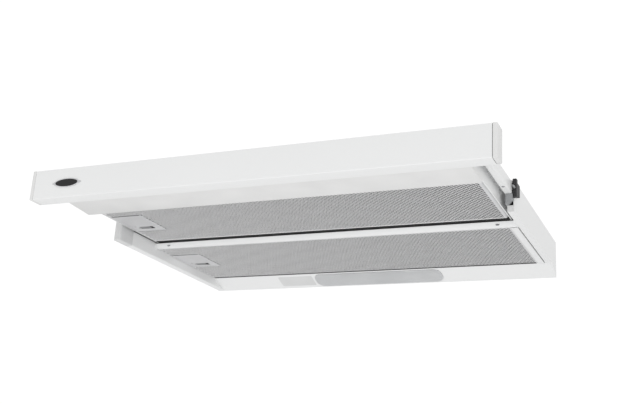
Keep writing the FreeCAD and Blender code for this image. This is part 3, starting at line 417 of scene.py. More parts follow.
class Finish(Enum):
    """The finishes that this hood uses."""

    ENAMEL = Enamel("white_enamel")
    SHELL = Moulding("white_plastic", (0.84, 0.84, 0.835), 0.34, 0.00002)
    CAP = Moulding("cap_plastic", (0.78, 0.785, 0.785), 0.42)
    BLACK = Moulding("black_plastic", (0.018, 0.018, 0.020), 0.45)
    GREY = Moulding("grey_plastic", (0.36, 0.37, 0.38), 0.5)
    LATCH = Moulding("latch_plastic", (0.30, 0.305, 0.31), 0.45)
    BADGE = Moulding("badge_black", (0.006, 0.006, 0.0065), 0.5, 0.000005)
    STRAND = StrandMetal("strand_aluminium")
    EDGE = MeshMetal("edge_aluminium", (0.80, 0.80, 0.81), (0.74, 0.74, 0.75), 0.4, 0.5)
    PLATE = MeshMetal("plate_aluminium", (0.72, 0.72, 0.73), (0.64, 0.64, 0.65), 0.42, 0.5)
    PACK = MeshPack("mesh_pack")
    ZINC = Galvanised("zinc_sheet")
    FOAM = Foam("seal_foam")
    # Painted shade: a near-black finish for pieces that stand for the shade in gaps and slots.
    SHADE = Moulding("painted_slot_shade", (0.10, 0.10, 0.105), 0.7)
    RUBBER = Moulding("mount_rubber", (0.03, 0.03, 0.03), 0.8)
    LENS = Frosted("lens_plastic", (0.62, 0.63, 0.64), (0.80, 0.81, 0.82))
    LABEL = Moulding("label_film", (0.74, 0.745, 0.745), 0.3, 0.000004)
    BRIGHT = Plated("bright_steel")
    MOTOR = Plated("motor_steel", (0.42, 0.43, 0.45), 0.38)
    GLASS = BulbGlass("bulb_glass")


class Paintshop:
    """Builds each finish once and puts it on pieces."""

    def __init__(self) -> None:
        """Start with no finish made."""
        self.made: dict[Finish, bpy.types.Material] = {}

    def dress(self, piece: bpy.types.Object, finish: Finish) -> None:
        """Put one finish all over a piece."""
        if finish not in self.made:
            self.made[finish] = finish.value.material()
        piece.data.materials.clear()
        piece.data.materials.append(self.made[finish])


# ---- bench tools

FaceTest = Callable[[Vector, Vector], bool]
EdgeTest = Callable[[Vector, Vector], bool]
Span = tuple[float, float]
ORIGIN = Vector((0.0, 0.0, 0.0))


class Workpiece:
    """One mesh on the bench, shaped by extruding, insetting, rounding and cutting."""

    def __init__(self, body: bpy.types.Object, name: str) -> None:
        """Take a new primitive in hand, at the origin, unturned and unscaled."""
        self.body = body
        body.name = name
        body.data.name = name
        self.hold()
        bpy.ops.object.transform_apply(location=True, rotation=True, scale=True)

    @classmethod
    def block(cls, name: str, low: Vector, high: Vector) -> Workpiece:
        """Add a cube and size it to a box."""
        bpy.ops.object.select_all(action="DESELECT")
        bpy.ops.mesh.primitive_cube_add(size=1.0, location=(Vector(low) + Vector(high)) / 2)
        made = bpy.context.object
        made.scale = Vector(high) - Vector(low)
        return cls(made, name)

    @classmethod
    def between(cls, name: str, x: Span, y: Span, z: Span) -> Workpiece:
        """Add a block that fills a span along each axis."""
        return cls.block(name, *(Vector(corner) for corner in zip(x, y, z)))

    @classmethod
    def rod(cls, name: str, centre: Vector, radius: float, length: float, axis: str = "Z",
            sides: int = 32) -> Workpiece:
        """Add a cylinder about its middle, along an axis."""
        bpy.ops.object.select_all(action="DESELECT")
        turn = {"X": (0.0, math.pi / 2, 0.0), "Y": (math.pi / 2, 0.0, 0.0), "Z": (0.0, 0.0, 0.0)}[axis]
        bpy.ops.mesh.primitive_cylinder_add(vertices=sides, radius=radius, depth=length, location=centre,
                                            rotation=turn)
        return cls(bpy.context.object, name)

    @classmethod
    def ring(cls, name: str, centre: Vector, radius: float, thick: float, sides: int = 96) -> Workpiece:
        """Add a torus about the Z axis."""
        bpy.ops.object.select_all(action="DESELECT")
        bpy.ops.mesh.primitive_torus_add(major_segments=sides, minor_segments=12, location=centre,
                                         major_radius=radius, minor_radius=thick)
        return cls(bpy.context.object, name)

    def resize(self, size: Iterable[float], centre: Iterable[float]) -> Workpiece:
        """Scale the piece and set it down, with its object left at the origin."""
        self.body.scale = size
        self.body.location = centre
        self.hold()
        bpy.ops.object.transform_apply(location=True, rotation=True, scale=True)
        return self

    def rename(self, name: str) -> Workpiece:
        """Name the object."""
        self.body.name = name
        return self

    def hold(self) -> None:
        """Select this piece alone."""
        if bpy.context.object and bpy.context.object.mode != "OBJECT":
            bpy.ops.object.mode_set(mode="OBJECT")
        bpy.ops.object.select_all(action="DESELECT")
        self.body.select_set(True)
        bpy.context.view_layer.objects.active = self.body

    def _edit(self, faces: bool, chosen: Iterable[bool]) -> None:
        """Enter edit mode with the chosen faces or edges selected."""
        self.hold()
        mesh = self.body.data
        for group in (mesh.vertices, mesh.edges, mesh.polygons):
            group.foreach_set("select", [False] * len(group))
        items = mesh.polygons if faces else mesh.edges
        items.foreach_set("select", list(chosen))
        bpy.context.tool_settings.mesh_select_mode = (False, not faces, faces)
        bpy.ops.object.mode_set(mode="EDIT")

    def faces(self, test: FaceTest) -> Workpiece:
        """Select the faces whose middle and normal pass a test, and stay in edit mode."""
        self._edit(True, [test(f.center, f.normal) for f in self.body.data.polygons])
        return self

    def edges(self, test: EdgeTest) -> Workpiece:
        """Select the edges whose two ends pass a test, and stay in edit mode."""
        points = self.body.data.vertices
        self._edit(False, [test(points[e.vertices[0]].co, points[e.vertices[1]].co)
                           for e in self.body.data.edges])
        return self

    def all(self) -> Workpiece:
        """Select everything, and stay in edit mode."""
        return self.faces(lambda centre, normal: True)

    def done(self) -> Workpiece:
        """Leave edit mode."""
        bpy.ops.object.mode_set(mode="OBJECT")
        return self

    def move(self, x: float = 0.0, y: float = 0.0, z: float = 0.0) -> Workpiece:
        """Shift what is selected."""
        bpy.ops.transform.translate(value=(x, y, z))
        return self.done()

    def inset(self, rim: float, depth: float = 0.0) -> Workpiece:
        """Inset the selected faces and sink or raise them."""
        bpy.ops.mesh.inset(thickness=rim, depth=depth)
        return self.done()

    def extrude(self, x: float = 0.0, y: float = 0.0, z: float = 0.0) -> Workpiece:
        """Extrude the selected faces."""
        bpy.ops.mesh.extrude_region_move(TRANSFORM_OT_translate={"value": (x, y, z)})
        return self.done()

    def bevel(self, width: float, steps: int = 3) -> Workpiece:
        """Round the selected edges."""
        bpy.ops.mesh.bevel(offset=width, segments=steps, affect="EDGES", clamp_overlap=True)
        return self.done()

    def slice(self, point: Vector, normal: Vector, drop: bool = False) -> Workpiece:
        """Cut everything along a plane, dropping the side that the normal points to if asked."""
        self.all()
        bpy.ops.mesh.bisect(plane_co=point, plane_no=normal, clear_outer=drop, use_fill=False)
        return self.done()

    def remove(self) -> Workpiece:
        """Delete the selected faces."""
        bpy.ops.mesh.delete(type="FACE")
        return self.done()

    def modify(self, kind: str, **settings: object) -> Workpiece:
        """Add a modifier and apply it."""
        self.hold()
        change = self.body.modifiers.new(kind.lower(), kind)
        for key, value in settings.items():
            setattr(change, key, value)
        bpy.ops.object.modifier_apply(modifier=change.name)
        return self

    def soften(self, width: float, steps: int = 2, angle: float = 35.0) -> Workpiece:
        """Round every edge sharper than an angle."""
        return self.modify("BEVEL", width=width, segments=steps, limit_method="ANGLE",
                           angle_limit=math.radians(angle), harden_normals=False)

    def cut(self, *tools: Workpiece) -> Workpiece:
        """Cut other pieces out of this one, and throw them away."""
        for tool in tools:
            self.modify("BOOLEAN", object=tool.body, operation="DIFFERENCE", solver="EXACT")
            bpy.data.objects.remove(tool.body)
        return self

    def join(self, *others: Workpiece) -> Workpiece:
        """Make other pieces part of this one."""
        self.hold()
        for other in others:
            other.body.select_set(True)
        bpy.ops.object.join()
        return self

    def turn(self, angle: float, axis: str, centre: Vector) -> Workpiece:
        """Turn the whole piece about a point."""
        self.all()
        bpy.ops.transform.rotate(value=angle, orient_axis=axis, center_override=centre)
        return self.done()

    def smooth(self, angle: float = 32.0) -> Workpiece:
        """Shade soft bends smoothly and keep sharp edges."""
        self.hold()
        bpy.ops.object.shade_smooth_by_angle(angle=math.radians(angle))
        return self


@dataclass
class Assembly:
    """What every sub-assembly shares: its paint shop and a count of its pieces."""

    shop: Paintshop
    count: int = field(default=0, init=False)

    def fit(self, piece: Workpiece, body: str, finish: Finish, slot: str, *stands_for: str) -> None:
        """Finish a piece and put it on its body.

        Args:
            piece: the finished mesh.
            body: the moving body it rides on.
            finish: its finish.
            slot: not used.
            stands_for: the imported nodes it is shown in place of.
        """
        piece.smooth()
        self.shop.dress(piece.body, finish)
        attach(piece.body, body)
        if stands_for:
            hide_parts(*stands_for)
        self.count += 1
        LOG.info("%s rides on %s", piece.body.name, body)

    def dress_nodes(self, finish: Finish, *nodes: str) -> None:
        """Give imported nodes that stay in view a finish."""
        for name in nodes:
            self.shop.dress(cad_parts[name], finish)


def span(node: str) -> tuple[Vector, Vector]:
    """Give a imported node's lowest and highest corners."""
    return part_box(node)


def near(value: float, target: float, slack: float = 0.2 * MM) -> bool:
    """Tell whether a length is at a target."""
    return abs(value - target) < slack


def on(**places: float) -> EdgeTest:
    """Pick the edges whose two ends both lie at the places given for the named axes."""
    return lambda a, b: all(near(getattr(end, axis), place) for end in (a, b) for axis, place in places.items())


def upright(a: Vector, b: Vector) -> bool:
    """Tell whether an edge stands upright."""
    return near(a.x, b.x) and near(a.y, b.y) and not near(a.z, b.z, 0.01 * MM)


def lengthwise(a: Vector, b: Vector) -> bool:
    """Tell whether an edge runs along Y."""
    return near(a.x, b.x) and near(a.z, b.z) and not near(a.y, b.y)


def screw_head(name: str, centre: Vector, radius: float, height: float, axis: str,
               outward: float) -> Workpiece:
    """Turn a domed screw head with a cross recess.

    Args:
        name: the piece's name.
        centre: the middle of its seat.
        radius: its radius.
        height: how far it stands out.
        axis: the axis it points along.
        outward: 1 or -1 along that axis.

    Returns:
        The finished head.
    """
    step = {"X": Vector((1, 0, 0)), "Y": Vector((0, 1, 0)), "Z": Vector((0, 0, 1))}[axis] * outward
    head = Workpiece.rod(name, Vector(centre) + step * height / 2, radius, height, axis, 24)
    top = Vector(centre) + step * height
    head.faces(lambda middle, normal: normal.dot(step) > 0.9).inset(radius * 0.35, 0.0)
    head.faces(lambda middle, normal: normal.dot(step) > 0.9 and (middle - top).length < radius * 0.4)
    bpy.ops.transform.translate(value=step * height * 0.3)
    head.done()
    crown = top + step * height * 0.3
    along = "XYZ".index(axis)
    for across in (number for number in range(3) if number != along):
        size = Vector((radius * 0.26, radius * 0.26, radius * 0.26))
        size[across] = radius * 1.1
        size[along] = height * 0.9
        head.cut(Workpiece.block(name + "_bit", crown - size / 2, crown + size / 2))
    return head


# ---- slider


@dataclass
class Fascia(Assembly):
    """The painted front of the slider, its end caps and its plain oval badge."""

    cap: float = 5.5 * MM
    seam: float = 0.45 * MM
    corner: float = 1.5 * MM
    wall: float = 1.8 * MM
    seam_depth: float = 0.9 * MM
    facets: int = 64
    bezel: float = 0.11
    tip_root: float = 1.6 * MM
    tip_height: float = 5.4 * MM

    def build(self) -> None:
        """Model the shell, the two caps and the badge."""
        low, high = span("fascia_panel")
        for side, label in ((-1, "left"), (1, "right")):
            x = (low.x, low.x + self.cap) if side < 0 else (high.x - self.cap, high.x)
            cap = Workpiece.between(f"fascia_cap_{label}", x, (low.y, high.y), (low.z, high.z))
            cap.edges(on(x=low.x if side < 0 else high.x)).bevel(self.corner * 1.2, 4)
            cap.soften(0.5 * MM)
            self.fit(cap, "slider", Finish.SHELL, "white_plastic", f"fascia_end_{label}")
        inner_low = Vector((low.x + self.cap + self.seam, low.y, low.z))
        inner_high = Vector((high.x - self.cap - self.seam, high.y, high.z))
        shell = Workpiece.block("fascia_shell", inner_low, inner_high)
        shell.faces(lambda middle, normal: normal.y > 0.9).inset(self.wall)
        centre = (inner_low + inner_high) / 2
        shell.faces(lambda middle, normal: normal.y > 0.9 and abs(middle.x - centre.x) < MM
                    and abs(middle.z - centre.z) < MM).extrude(y=-(high.y - low.y - self.wall))
        shell.edges(lambda a, b: on(y=low.y)(a, b) and near(a.z, b.z)).bevel(self.corner, 5)
        self.fit(shell, "slider", Finish.ENAMEL, "white_enamel", "fascia_panel")
        sunk = self.seam_depth
        seams = [Workpiece.between("fascia_seam", (edge, edge + self.seam), (low.y + sunk, high.y - MM),
                                   (low.z + sunk, high.z - sunk))
                 for edge in (low.x + self.cap, high.x - self.cap - self.seam)]
        self.fit(seams[0].join(seams[1]).rename("fascia_seams"), "slider", Finish.BLACK, "black_plastic")
        self.badge()

    def badge(self) -> None:
        """Dish the oval plate and roll its pointed rim."""
        low, high = span("badge_plate")
        oval = high - low
        plate = Workpiece.rod("badge_oval", ORIGIN, 0.5, 1.0, "Y", self.facets)
        plate.faces(lambda centre, normal: normal.y < -0.9).inset(0.12, 0.0)
        plate.faces(lambda centre, normal: normal.y < -0.9 and centre.length < 0.52).move(y=-0.25)
        plate.resize((oval.x - 1.2 * MM, oval.y * 0.72, oval.z - 0.8 * MM),
                     (low + high) / 2 + Vector((0, oval.y * 0.12, 0)))
        self.fit(plate, "slider", Finish.BADGE, "black_plastic", "badge_plate")
        low, high = span("badge_rim")
        middle = (low + high) / 2
        half, thick = (high.x - low.x) / 2, high.y - low.y
        root = oval.x / 2 - self.tip_root
        rim = Workpiece.ring("badge_bezel", ORIGIN, 1.0, self.bezel, self.facets)
        rim.turn(math.pi / 2, "X", ORIGIN)
        rim.resize((oval.x / 2, thick * 4.0, oval.z / 2), middle)
        for side in (-1, 1):
            tip = Workpiece.block("badge_tip", Vector((-0.5, -0.5, -0.5)), Vector((0.5, 0.5, 0.5)))
            tip.faces(lambda centre, normal: normal.x * side > 0.9)
            bpy.ops.transform.resize(value=(1.0, 0.3, 0.04))
            tip.done()
            tip.resize((half - root, thick * 0.8, self.tip_height),
                       middle + Vector((side * (half + root) / 2, thick * 0.1, 0)))
            tip.soften(0.2 * MM)
            rim.join(tip)
        self.fit(rim, "slider", Finish.BRIGHT, "bright_steel", "badge_rim")


@dataclass
class FrontBar(Assembly):
    """The hand bar behind the fascia, with its rounded nose and slightly sloping underside."""

    nose: float = 11 * MM
    nose_lift: float = 3.0 * MM
    front_lift: float = 7.0 * MM
    round_nose: float = 4.0 * MM
    rear_edge: float = 0.9 * MM
    end_edge: float = 0.8 * MM

    def build(self) -> None:
        """Model the bar from one block."""
        low, high = span("front_bar")
        bar = Workpiece.block("hand_bar", low, high)
        bar.edges(on(y=low.y, z=low.z)).move(z=self.front_lift)
        bar.slice(Vector((0, low.y + self.nose, 0)), Vector((0, 1, 0)))
        at = low.y + self.nose
        slope = low.z + self.front_lift * (1 - self.nose / (high.y - low.y))
        bar.edges(lambda a, b: on(y=at)(a, b) and near(a.z, slope, MM) and near(b.z, slope, MM)
                  ).move(z=low.z + self.nose_lift - slope)
        below = high.z - MM
        bar.edges(lambda a, b: on(y=at)(a, b) and max(a.z, b.z) < below).bevel(self.round_nose, 6)
        bar.edges(on(y=high.y, z=low.z)).bevel(self.rear_edge, 3)
        bar.edges(lambda a, b: near(a.x, b.x) and near(abs(a.x), high.x) and max(a.z, b.z) < below
                  ).bevel(self.end_edge, 2)
        self.fit(bar, "slider", Finish.SHELL, "white_plastic", "front_bar", "bar_end_left", "bar_end_right")


@dataclass
class SliderFrame(Assembly):
    """The two arms, the tray and the controls."""

    arm_round: float = 2.6 * MM
    wall: float = 1.2 * MM
    bore: float = 30 * MM
    screw: float = 1.9 * MM
    grooves: int = 5
    groove_pitch: float = 1.5
    groove_half: float = 0.3 * MM
    stem_inset: float = 1.5 * MM

    def build(self) -> None:
        """Model the arms and their screws, and dress the folded tray."""
        screws: list[Workpiece] = []
        for label in ("left", "right"):
            low, high = span(f"side_arm_{label}")
            arm = Workpiece.block(f"arm_{label}", low, high)
            arm.faces(lambda middle, normal: abs(normal.y) > 0.9 and middle.y > 0).inset(self.wall)
            arm.faces(lambda middle, normal: normal.y > 0.9 and near(middle.y, high.y)
                      and abs(middle.z - (low.z + high.z) / 2) < MM).extrude(y=-self.bore)
            arm.edges(lambda a, b: lengthwise(a, b) and (near(a.z, low.z) or near(a.z, high.z))
                      ).bevel(self.arm_round, 5)
            self.fit(arm, "slider", Finish.ENAMEL, "white_enamel", f"side_arm_{label}")
            seat = Vector(((low.x + high.x) / 2, span("arm_screws")[0].y + self.screw, low.z + 0.25 * MM))
            screws.append(screw_head(f"arm_screw_{label}", seat, self.screw, 0.7 * MM, "Z", -1))
        heads = screws[0].join(screws[1]).rename("arm_screw_heads")
        self.fit(heads, "slider", Finish.MOTOR, "bright_steel", "arm_screws")
        self.dress_nodes(Finish.ENAMEL, "tray_side_left", "tray_side_right", "tray_cover")
        # The black rear bar and foam seal are partly a real seal and partly painted shade for the shadowed gap
        # where the tray runs on above the crossbar.
        self.dress_nodes(Finish.BLACK, "tray_rear_bar")
        self.dress_nodes(Finish.FOAM, "tray_seal")
        self.dress_nodes(Finish.SHELL, "control_box", "striker")
        for node, body in (("speed_knob", "speed_knob_body"), ("lamp_knob", "lamp_knob_body")):
            self.knob(node, body)

    def knob(self, node: str, body: str) -> None:
        """Model one slide knob with a ridged top."""
        low, high = span(node)
        cap = Workpiece.block(node + "_grip", Vector((low.x, low.y, high.z - 4 * MM)), high)
        cap.soften(0.7 * MM, 3)
        for step in range(self.grooves):
            x = low.x + (2 + self.groove_pitch * step) * MM
            cap.cut(Workpiece.between("groove", (x - self.groove_half, x + self.groove_half),
                                      (low.y - MM, high.y + MM), (high.z - 2 * self.groove_half, high.z + MM)))
        middle, inset = (low.y + high.y) / 2, self.stem_inset
        stem = Workpiece.between(node + "_stem", (low.x + inset, high.x - inset),
                                 (middle - inset, middle + inset), (low.z, high.z - 3.9 * MM))
        stem.soften(0.3 * MM)
        self.fit(cap.join(stem), body, Finish.BLACK, "black_plastic", node)


# ---- filters


@dataclass
class MeshFilter(Assembly):
    """One drop-out filter: rolled edge, expanded outer sheet, latch plate and sprung latch."""

    prefix: str = "front_filter"
    body: str = "front_filter"
    latch_body: str = "front_latch"
    rear_seal_and_shade_lip: bool = False
    diamond_x: float = 4.8 * MM
    diamond_y: float = 9.6 * MM
    strand: float = 1.0 * MM
    mark: float = 0.7 * MM
    mark_pitch: float = 6.8 * MM
    mark_count: int = 10
    hole: float = 1.3 * MM
    pad_length: float = 15 * MM
    ribs: int = 4
    rib_half: float = 0.45 * MM
    rib_pitch: float = 2.6

    def build(self) -> None:
        """Model the outer sheet, the plate and the latch, and dress the pack and its edge."""
        self.dress_nodes(Finish.EDGE, f"{self.prefix}_frame")
        self.dress_nodes(Finish.PACK, f"{self.prefix}_mesh")
        self.sheet()
        self.plate()
        self.plate_gap_shade()
        self.latch()
        if self.rear_seal_and_shade_lip:
            self.seal_and_shade_lip()

    def sheet(self) -> None:
        """Slit and stretch the outer sheet into diamonds, then trim it to its frame."""
        low, high = span(f"{self.prefix}_mesh")
        middle = (low + high) / 2
        reach_x, reach_y = high.x - low.x, high.y - low.y
        cells = 2 * int((reach_x / self.diamond_x + reach_y / self.diamond_y) / 2 + 3)
        pitch = (self.diamond_x, self.diamond_y)
        seat = (round(middle.x / pitch[0]) * pitch[0], round(middle.y / pitch[1]) * pitch[1])
        bpy.ops.object.select_all(action="DESELECT")
        bpy.ops.mesh.primitive_grid_add(x_subdivisions=cells, y_subdivisions=cells, size=cells / math.sqrt(2.0),
                                        location=(0, 0, 0), rotation=(0, 0, math.pi / 4))
        sheet = Workpiece(bpy.context.object, f"{self.prefix}_sheet")
        sheet.resize((*pitch, 1.0), (*seat, low.z - self.strand * 0.45))
        for point, normal in ((low, (-1, 0, 0)), (high, (1, 0, 0)), (low, (0, -1, 0)), (high, (0, 1, 0))):
            sheet.slice(point, normal, drop=True)
        plate_low, plate_high = span(f"{self.prefix}_latch_plate")
        sheet.faces(lambda centre, normal: centre.x < plate_high.x - MM
                    and plate_low.y + MM < centre.y < plate_high.y - MM).remove()
        sheet.modify("WIREFRAME", thickness=self.strand, use_even_offset=False, use_boundary=False,
                     use_replace=True, offset=0.0)
        self.fit(sheet, self.body, Finish.STRAND, "filter_aluminium")

    def plate(self) -> None:
        """Press the latch plate: raised border, finger recess and two small holes."""
        low, high = span(f"{self.prefix}_latch_plate")
        latch_low, latch_high = span(f"{self.prefix}_latch")
        plate = Workpiece.block(f"{self.prefix}_finger_plate", low, high)
        plate.faces(lambda middle, normal: normal.z < -0.9).inset(1.4 * MM)
        centre = (low + high) / 2
        plate.faces(lambda middle, normal: normal.z < -0.9 and abs(middle.x - centre.x) < 5 * MM
                    and abs(middle.y - centre.y) < 5 * MM).move(z=0.4 * MM)
        gap = 0.6 * MM
        window = Workpiece.between("window", (latch_high.x - 16 * MM, latch_high.x + 6 * MM),
                                   (latch_low.y - gap, latch_high.y + gap), (low.z - MM, high.z + MM))
        holes = [Workpiece.rod("hole", Vector((low.x + x * MM, high.y - y * MM, low.z)), self.hole,
                               6 * MM, "Z", 20)
                 for x, y in ((7.5, 20.0), (10.0, 13.0))]
        plate.cut(window, *holes)
        plate.soften(0.25 * MM, 2, 50.0)
        self.fit(plate, self.body, Finish.PLATE, "filter_aluminium", f"{self.prefix}_latch_plate")

    def plate_gap_shade(self) -> None:
        """Lay a thin dark strip along the plate's front edge and a row of dark slots along its right-hand edge:
        painted shade for the gap and the slots there.
        """
        low, high = span(f"{self.prefix}_latch_plate")
        depth = Vector((0, 0, 0.12 * MM))
        groove = Workpiece.block(f"{self.prefix}_plate_slots", Vector((low.x + MM, low.y, low.z)) - depth,
                                 Vector((high.x - 3 * MM, low.y + 1.8 * MM, low.z + 0.2 * MM)))
        groove.soften(0.1 * MM)
        for number in range(self.mark_count):
            corner = Vector((high.x - self.mark, low.y + number * self.mark_pitch, low.z))
            slot = Workpiece.block("slot", corner - depth, corner + Vector((2 * self.mark, 3.4 * MM, 0.2 * MM)))
            slot.soften(0.1 * MM)
            groove.join(slot)
        self.fit(groove, self.body, Finish.SHADE, "black_seal")

    def seal_and_shade_lip(self) -> None:
        """Add the black sealing lip along the filter's rear edge, which also stands as painted shade for the
        dark gap at that edge.
        """
        low, high = span(f"{self.prefix}_frame")
        seal_and_shade_lip = Workpiece.between(f"{self.prefix}_lip", (low.x + MM, high.x - 4 * MM),
                                (high.y - 2.6 * MM, high.y + 0.3 * MM), (low.z - 0.35 * MM, low.z))
        seal_and_shade_lip.faces(lambda middle, normal: normal.y > 0.9).inset(0.08 * MM)
        seal_and_shade_lip.soften(0.1 * MM)
        self.fit(seal_and_shade_lip, self.body, Finish.FOAM, "black_seal")

    def latch(self) -> None:
        """Model the finger latch with a ribbed thumb pad."""
        low, high = span(f"{self.prefix}_latch")
        pad = Workpiece.between(f"{self.prefix}_thumb_latch", (high.x - self.pad_length, high.x),
                                (low.y, high.y), (low.z, low.z + 1.8 * MM))
        pad.faces(lambda middle, normal: normal.z < -0.9).inset(1.2 * MM, -0.5 * MM)
        pad.soften(0.3 * MM)
        middle, under = (low.y + high.y) / 2, low.z + 1.7 * MM
        bolt = Workpiece.between("bolt", (low.x, high.x), (middle - 2.5 * MM, middle + 2.5 * MM),
                                 (under, high.z))
        bolt.edges(on(x=low.x, z=under)).bevel(1.0 * MM, 2)
        pad.join(bolt)
        for step in range(self.ribs):
            x = high.x - (3.2 + self.rib_pitch * step) * MM
            rib = Workpiece.between("rib", (x - self.rib_half, x + self.rib_half),
                                    (low.y + 1.4 * MM, high.y - 1.4 * MM),
                                    (low.z + 0.05 * MM, low.z + 0.8 * MM))
            rib.soften(0.2 * MM)
            pad.join(rib)
        self.fit(pad, self.latch_body, Finish.LATCH, "black_plastic", f"{self.prefix}_latch")


# ---- case


@dataclass
class Case(Assembly):
    """The fixed steel case: rims, guides, crossbar, panels and slider switch."""

    fold: float = 1.6 * MM
    wall: float = 1.2 * MM
    glide_lift: float = 1.7 * MM
    catch_half: float = 3.4 * MM
    guide_front: float = 2.4 * MM
    nose: float = 5.0 * MM
    screw: float = 2.4 * MM
    screw_inset: float = 2.5 * MM
    well: float = 1.35 * MM

    def build(self) -> None:
        """Model the visible rims and bars, and dress the rest."""
        self.left_rim()
        self.guide()
        self.crossbar()
        self.switch()
        self.dress_nodes(Finish.ENAMEL, "side_panel_right", "top_plate", "rear_panel")
        self.dress_nodes(Finish.CAP, "guide_cap_right")
        self.dress_nodes(Finish.BLACK, "glide_left")
        # Painted light: the right glide is grey where its left twin is black, standing for the softer shade at
        # that side.
        self.dress_nodes(Finish.GREY, "glide_right")

    def left_rim(self) -> None:
        """Fold the left side panel: a closed rim with rounded bends below a plain wall."""
        low, high = span("side_panel_left")
        top = span("glide_left")[1].z - self.glide_lift
        rim = Workpiece.block("left_rim", low, Vector((high.x, high.y, top)))
        rim.edges(lambda a, b: near(a.x, b.x) and near(a.z, b.z) and near(a.z, low.z)).bevel(self.fold, 5)
        wall = Workpiece.between("left_wall", (low.x, low.x + self.wall), (low.y, high.y), (top, high.z))
        wall.soften(0.3 * MM)
        catch_low, catch_high = span("rear_filter_latch")
        catch = (catch_low.y + catch_high.y) / 2
        rim.cut(Workpiece.between("catch_slot", (high.x - 3 * MM, high.x + MM),
                                  (catch - self.catch_half, catch + self.catch_half),
                                  (catch_low.z + 1.2 * MM, catch_high.z + 0.7 * MM)))
        self.fit(rim.join(wall), "case", Finish.ENAMEL, "white_enamel", "side_panel_left")

    def guide(self) -> None:
        """Mould the left guide cap with its soft front corners."""
        low, high = span("guide_cap_left")
        front = Vector((high.x, span("side_panel_left")[0].y, high.z))
        cap = Workpiece.block("left_guide", low, front)
        cap.edges(on(y=low.y)).bevel(self.guide_front, 5)
        cap.edges(lambda a, b: near(a.x, b.x) and near(a.z, b.z) and near(a.z, low.z) and a.y > low.y
                  and abs(a.y - b.y) > 10 * MM).bevel(1.6 * MM, 4)
        cap.soften(0.3 * MM, 2, 60.0)
        self.fit(cap, "case", Finish.CAP, "white_plastic", "guide_cap_left")

    def crossbar(self) -> None:
        """Fold the crossbar's slanting nose and set its two screws."""
        low, high = span("crossbar")
        bar = Workpiece.block("filter_crossbar", low, high)
        bar.edges(on(y=low.y, z=low.z)).move(y=self.nose)
        bar.edges(lambda a, b: near(a.z, b.z) and near(a.y, b.y)).bevel(0.6 * MM, 3)
        self.fit(bar, "case", Finish.ENAMEL, "white_enamel", "crossbar")
        screw_low, screw_high = span("crossbar_screws")
        heads = []
        tilt = math.atan2(self.nose, high.z - low.z)
        for x in (screw_low.x + self.screw_inset, screw_high.x - self.screw_inset):
            seat = Vector((x, low.y + self.nose / 2, (low.z + high.z) / 2))
            head = screw_head("crossbar_screw", seat, self.screw, 0.6 * MM, "Y", -1)
            head.turn(tilt, "X", seat)
            heads.append(head)
        pair = heads[0].join(heads[1]).rename("crossbar_screw_heads")
        self.fit(pair, "case", Finish.MOTOR, "bright_steel", "crossbar_screws")

    def switch(self) -> None:
        """Model the slider switch on the right-hand wall."""
        low, high = span("slide_switch")
        face = Vector((high.x, low.y + 6.6 * MM, high.z))
        shell = Workpiece.block("switch_shell", low, face)
        shell.soften(0.8 * MM, 3)
        tail = Workpiece.between("switch_tail", (low.x + 0.7 * MM, high.x), (low.y + 6 * MM, high.y),
                                 (low.z + 4 * MM, high.z - 4 * MM))
        tail.soften(0.5 * MM)
        plunger = (span("switch_plunger")[0] + span("switch_plunger")[1]) / 2
        well = Workpiece.rod("well", Vector((plunger.x, low.y, plunger.z)), self.well, 10 * MM, "Y", 24)
        shell.cut(well)
        self.fit(shell.join(tail), "case", Finish.BLACK, "black_plastic", "slide_switch")
        self.dress_nodes(Finish.GREY, "switch_plunger")


@dataclass
class Lamp(Assembly):
    """The sloping lamp panel with its lens, and the lamp behind it."""

    rise: float = 12.5 * MM
    width: float = 31 * MM
    thick: float = 1.2 * MM
    corner: float = 12.4 * MM
    label: tuple[float, float] = (58 * MM, 25 * MM)

    def build(self) -> None:
        """Model the lens and the blank label, and dress the panel and the parts behind it."""
        low, high = span("lamp_panel")
        self.tilt = math.atan2(self.rise, high.y - low.y)
        self.lens()
        self.blank_label()
        self.dress_nodes(Finish.ENAMEL, "lamp_panel")
        self.dress_nodes(Finish.ZINC, "lamp_reflector")
        self.dress_nodes(Finish.CAP, "lamp_holders")
        self.dress_nodes(Finish.GLASS, "lamp_bulbs")

    def on_slope(self, piece: Workpiece, centre: Vector) -> Workpiece:
        """Lean a level piece about its middle until it lies along the slope."""
        return piece.turn(self.tilt, "X", centre)

    def lens(self) -> None:
        """Mould the lens: round ends, a raised edge and a dished middle."""
        low, high = span("lamp_lens")
        rise = self.width / 2 * math.sin(self.tilt) + self.thick / 2 * math.cos(self.tilt)
        centre = Vector(((low.x + high.x) / 2, (low.y + high.y) / 2, low.z + rise))
        half = Vector(((high.x - low.x) / 2, self.width / 2, self.thick / 2))
        lens = Workpiece.block("lens_cover", centre - half, centre + half)
        lens.edges(upright).bevel(self.corner, 12)
        lens.faces(lambda middle, normal: normal.z < -0.9).inset(2.0 * MM)
        lens.faces(lambda middle, normal: normal.z < -0.9 and abs(middle.y - centre.y) < MM
                   and abs(middle.x - centre.x) < MM).inset(1.2 * MM, -0.6 * MM)
        lens.soften(0.3 * MM, 2, 50.0)
        self.on_slope(lens, centre)
        self.fit(lens, "case", Finish.LENS, "lens_plastic", "lamp_lens")

    def blank_label(self) -> None:
        """Stick the thin rating label, left blank, beside the lens."""
        low, high = span("lamp_panel")
        centre = Vector((span("lamp_lens")[0].x - 4 * MM - self.label[0] / 2, (low.y + high.y) / 2,
                         low.z + self.rise / 2 - 0.06 * MM))
        half = Vector((self.label[0] / 2, self.label[1] / 2, 0.1 * MM))
        label = Workpiece.block("blank_label", centre - half, centre + half)
        label.edges(upright).bevel(2 * MM, 4)
        self.on_slope(label, centre)
        self.fit(label, "case", Finish.LABEL, "white_plastic")


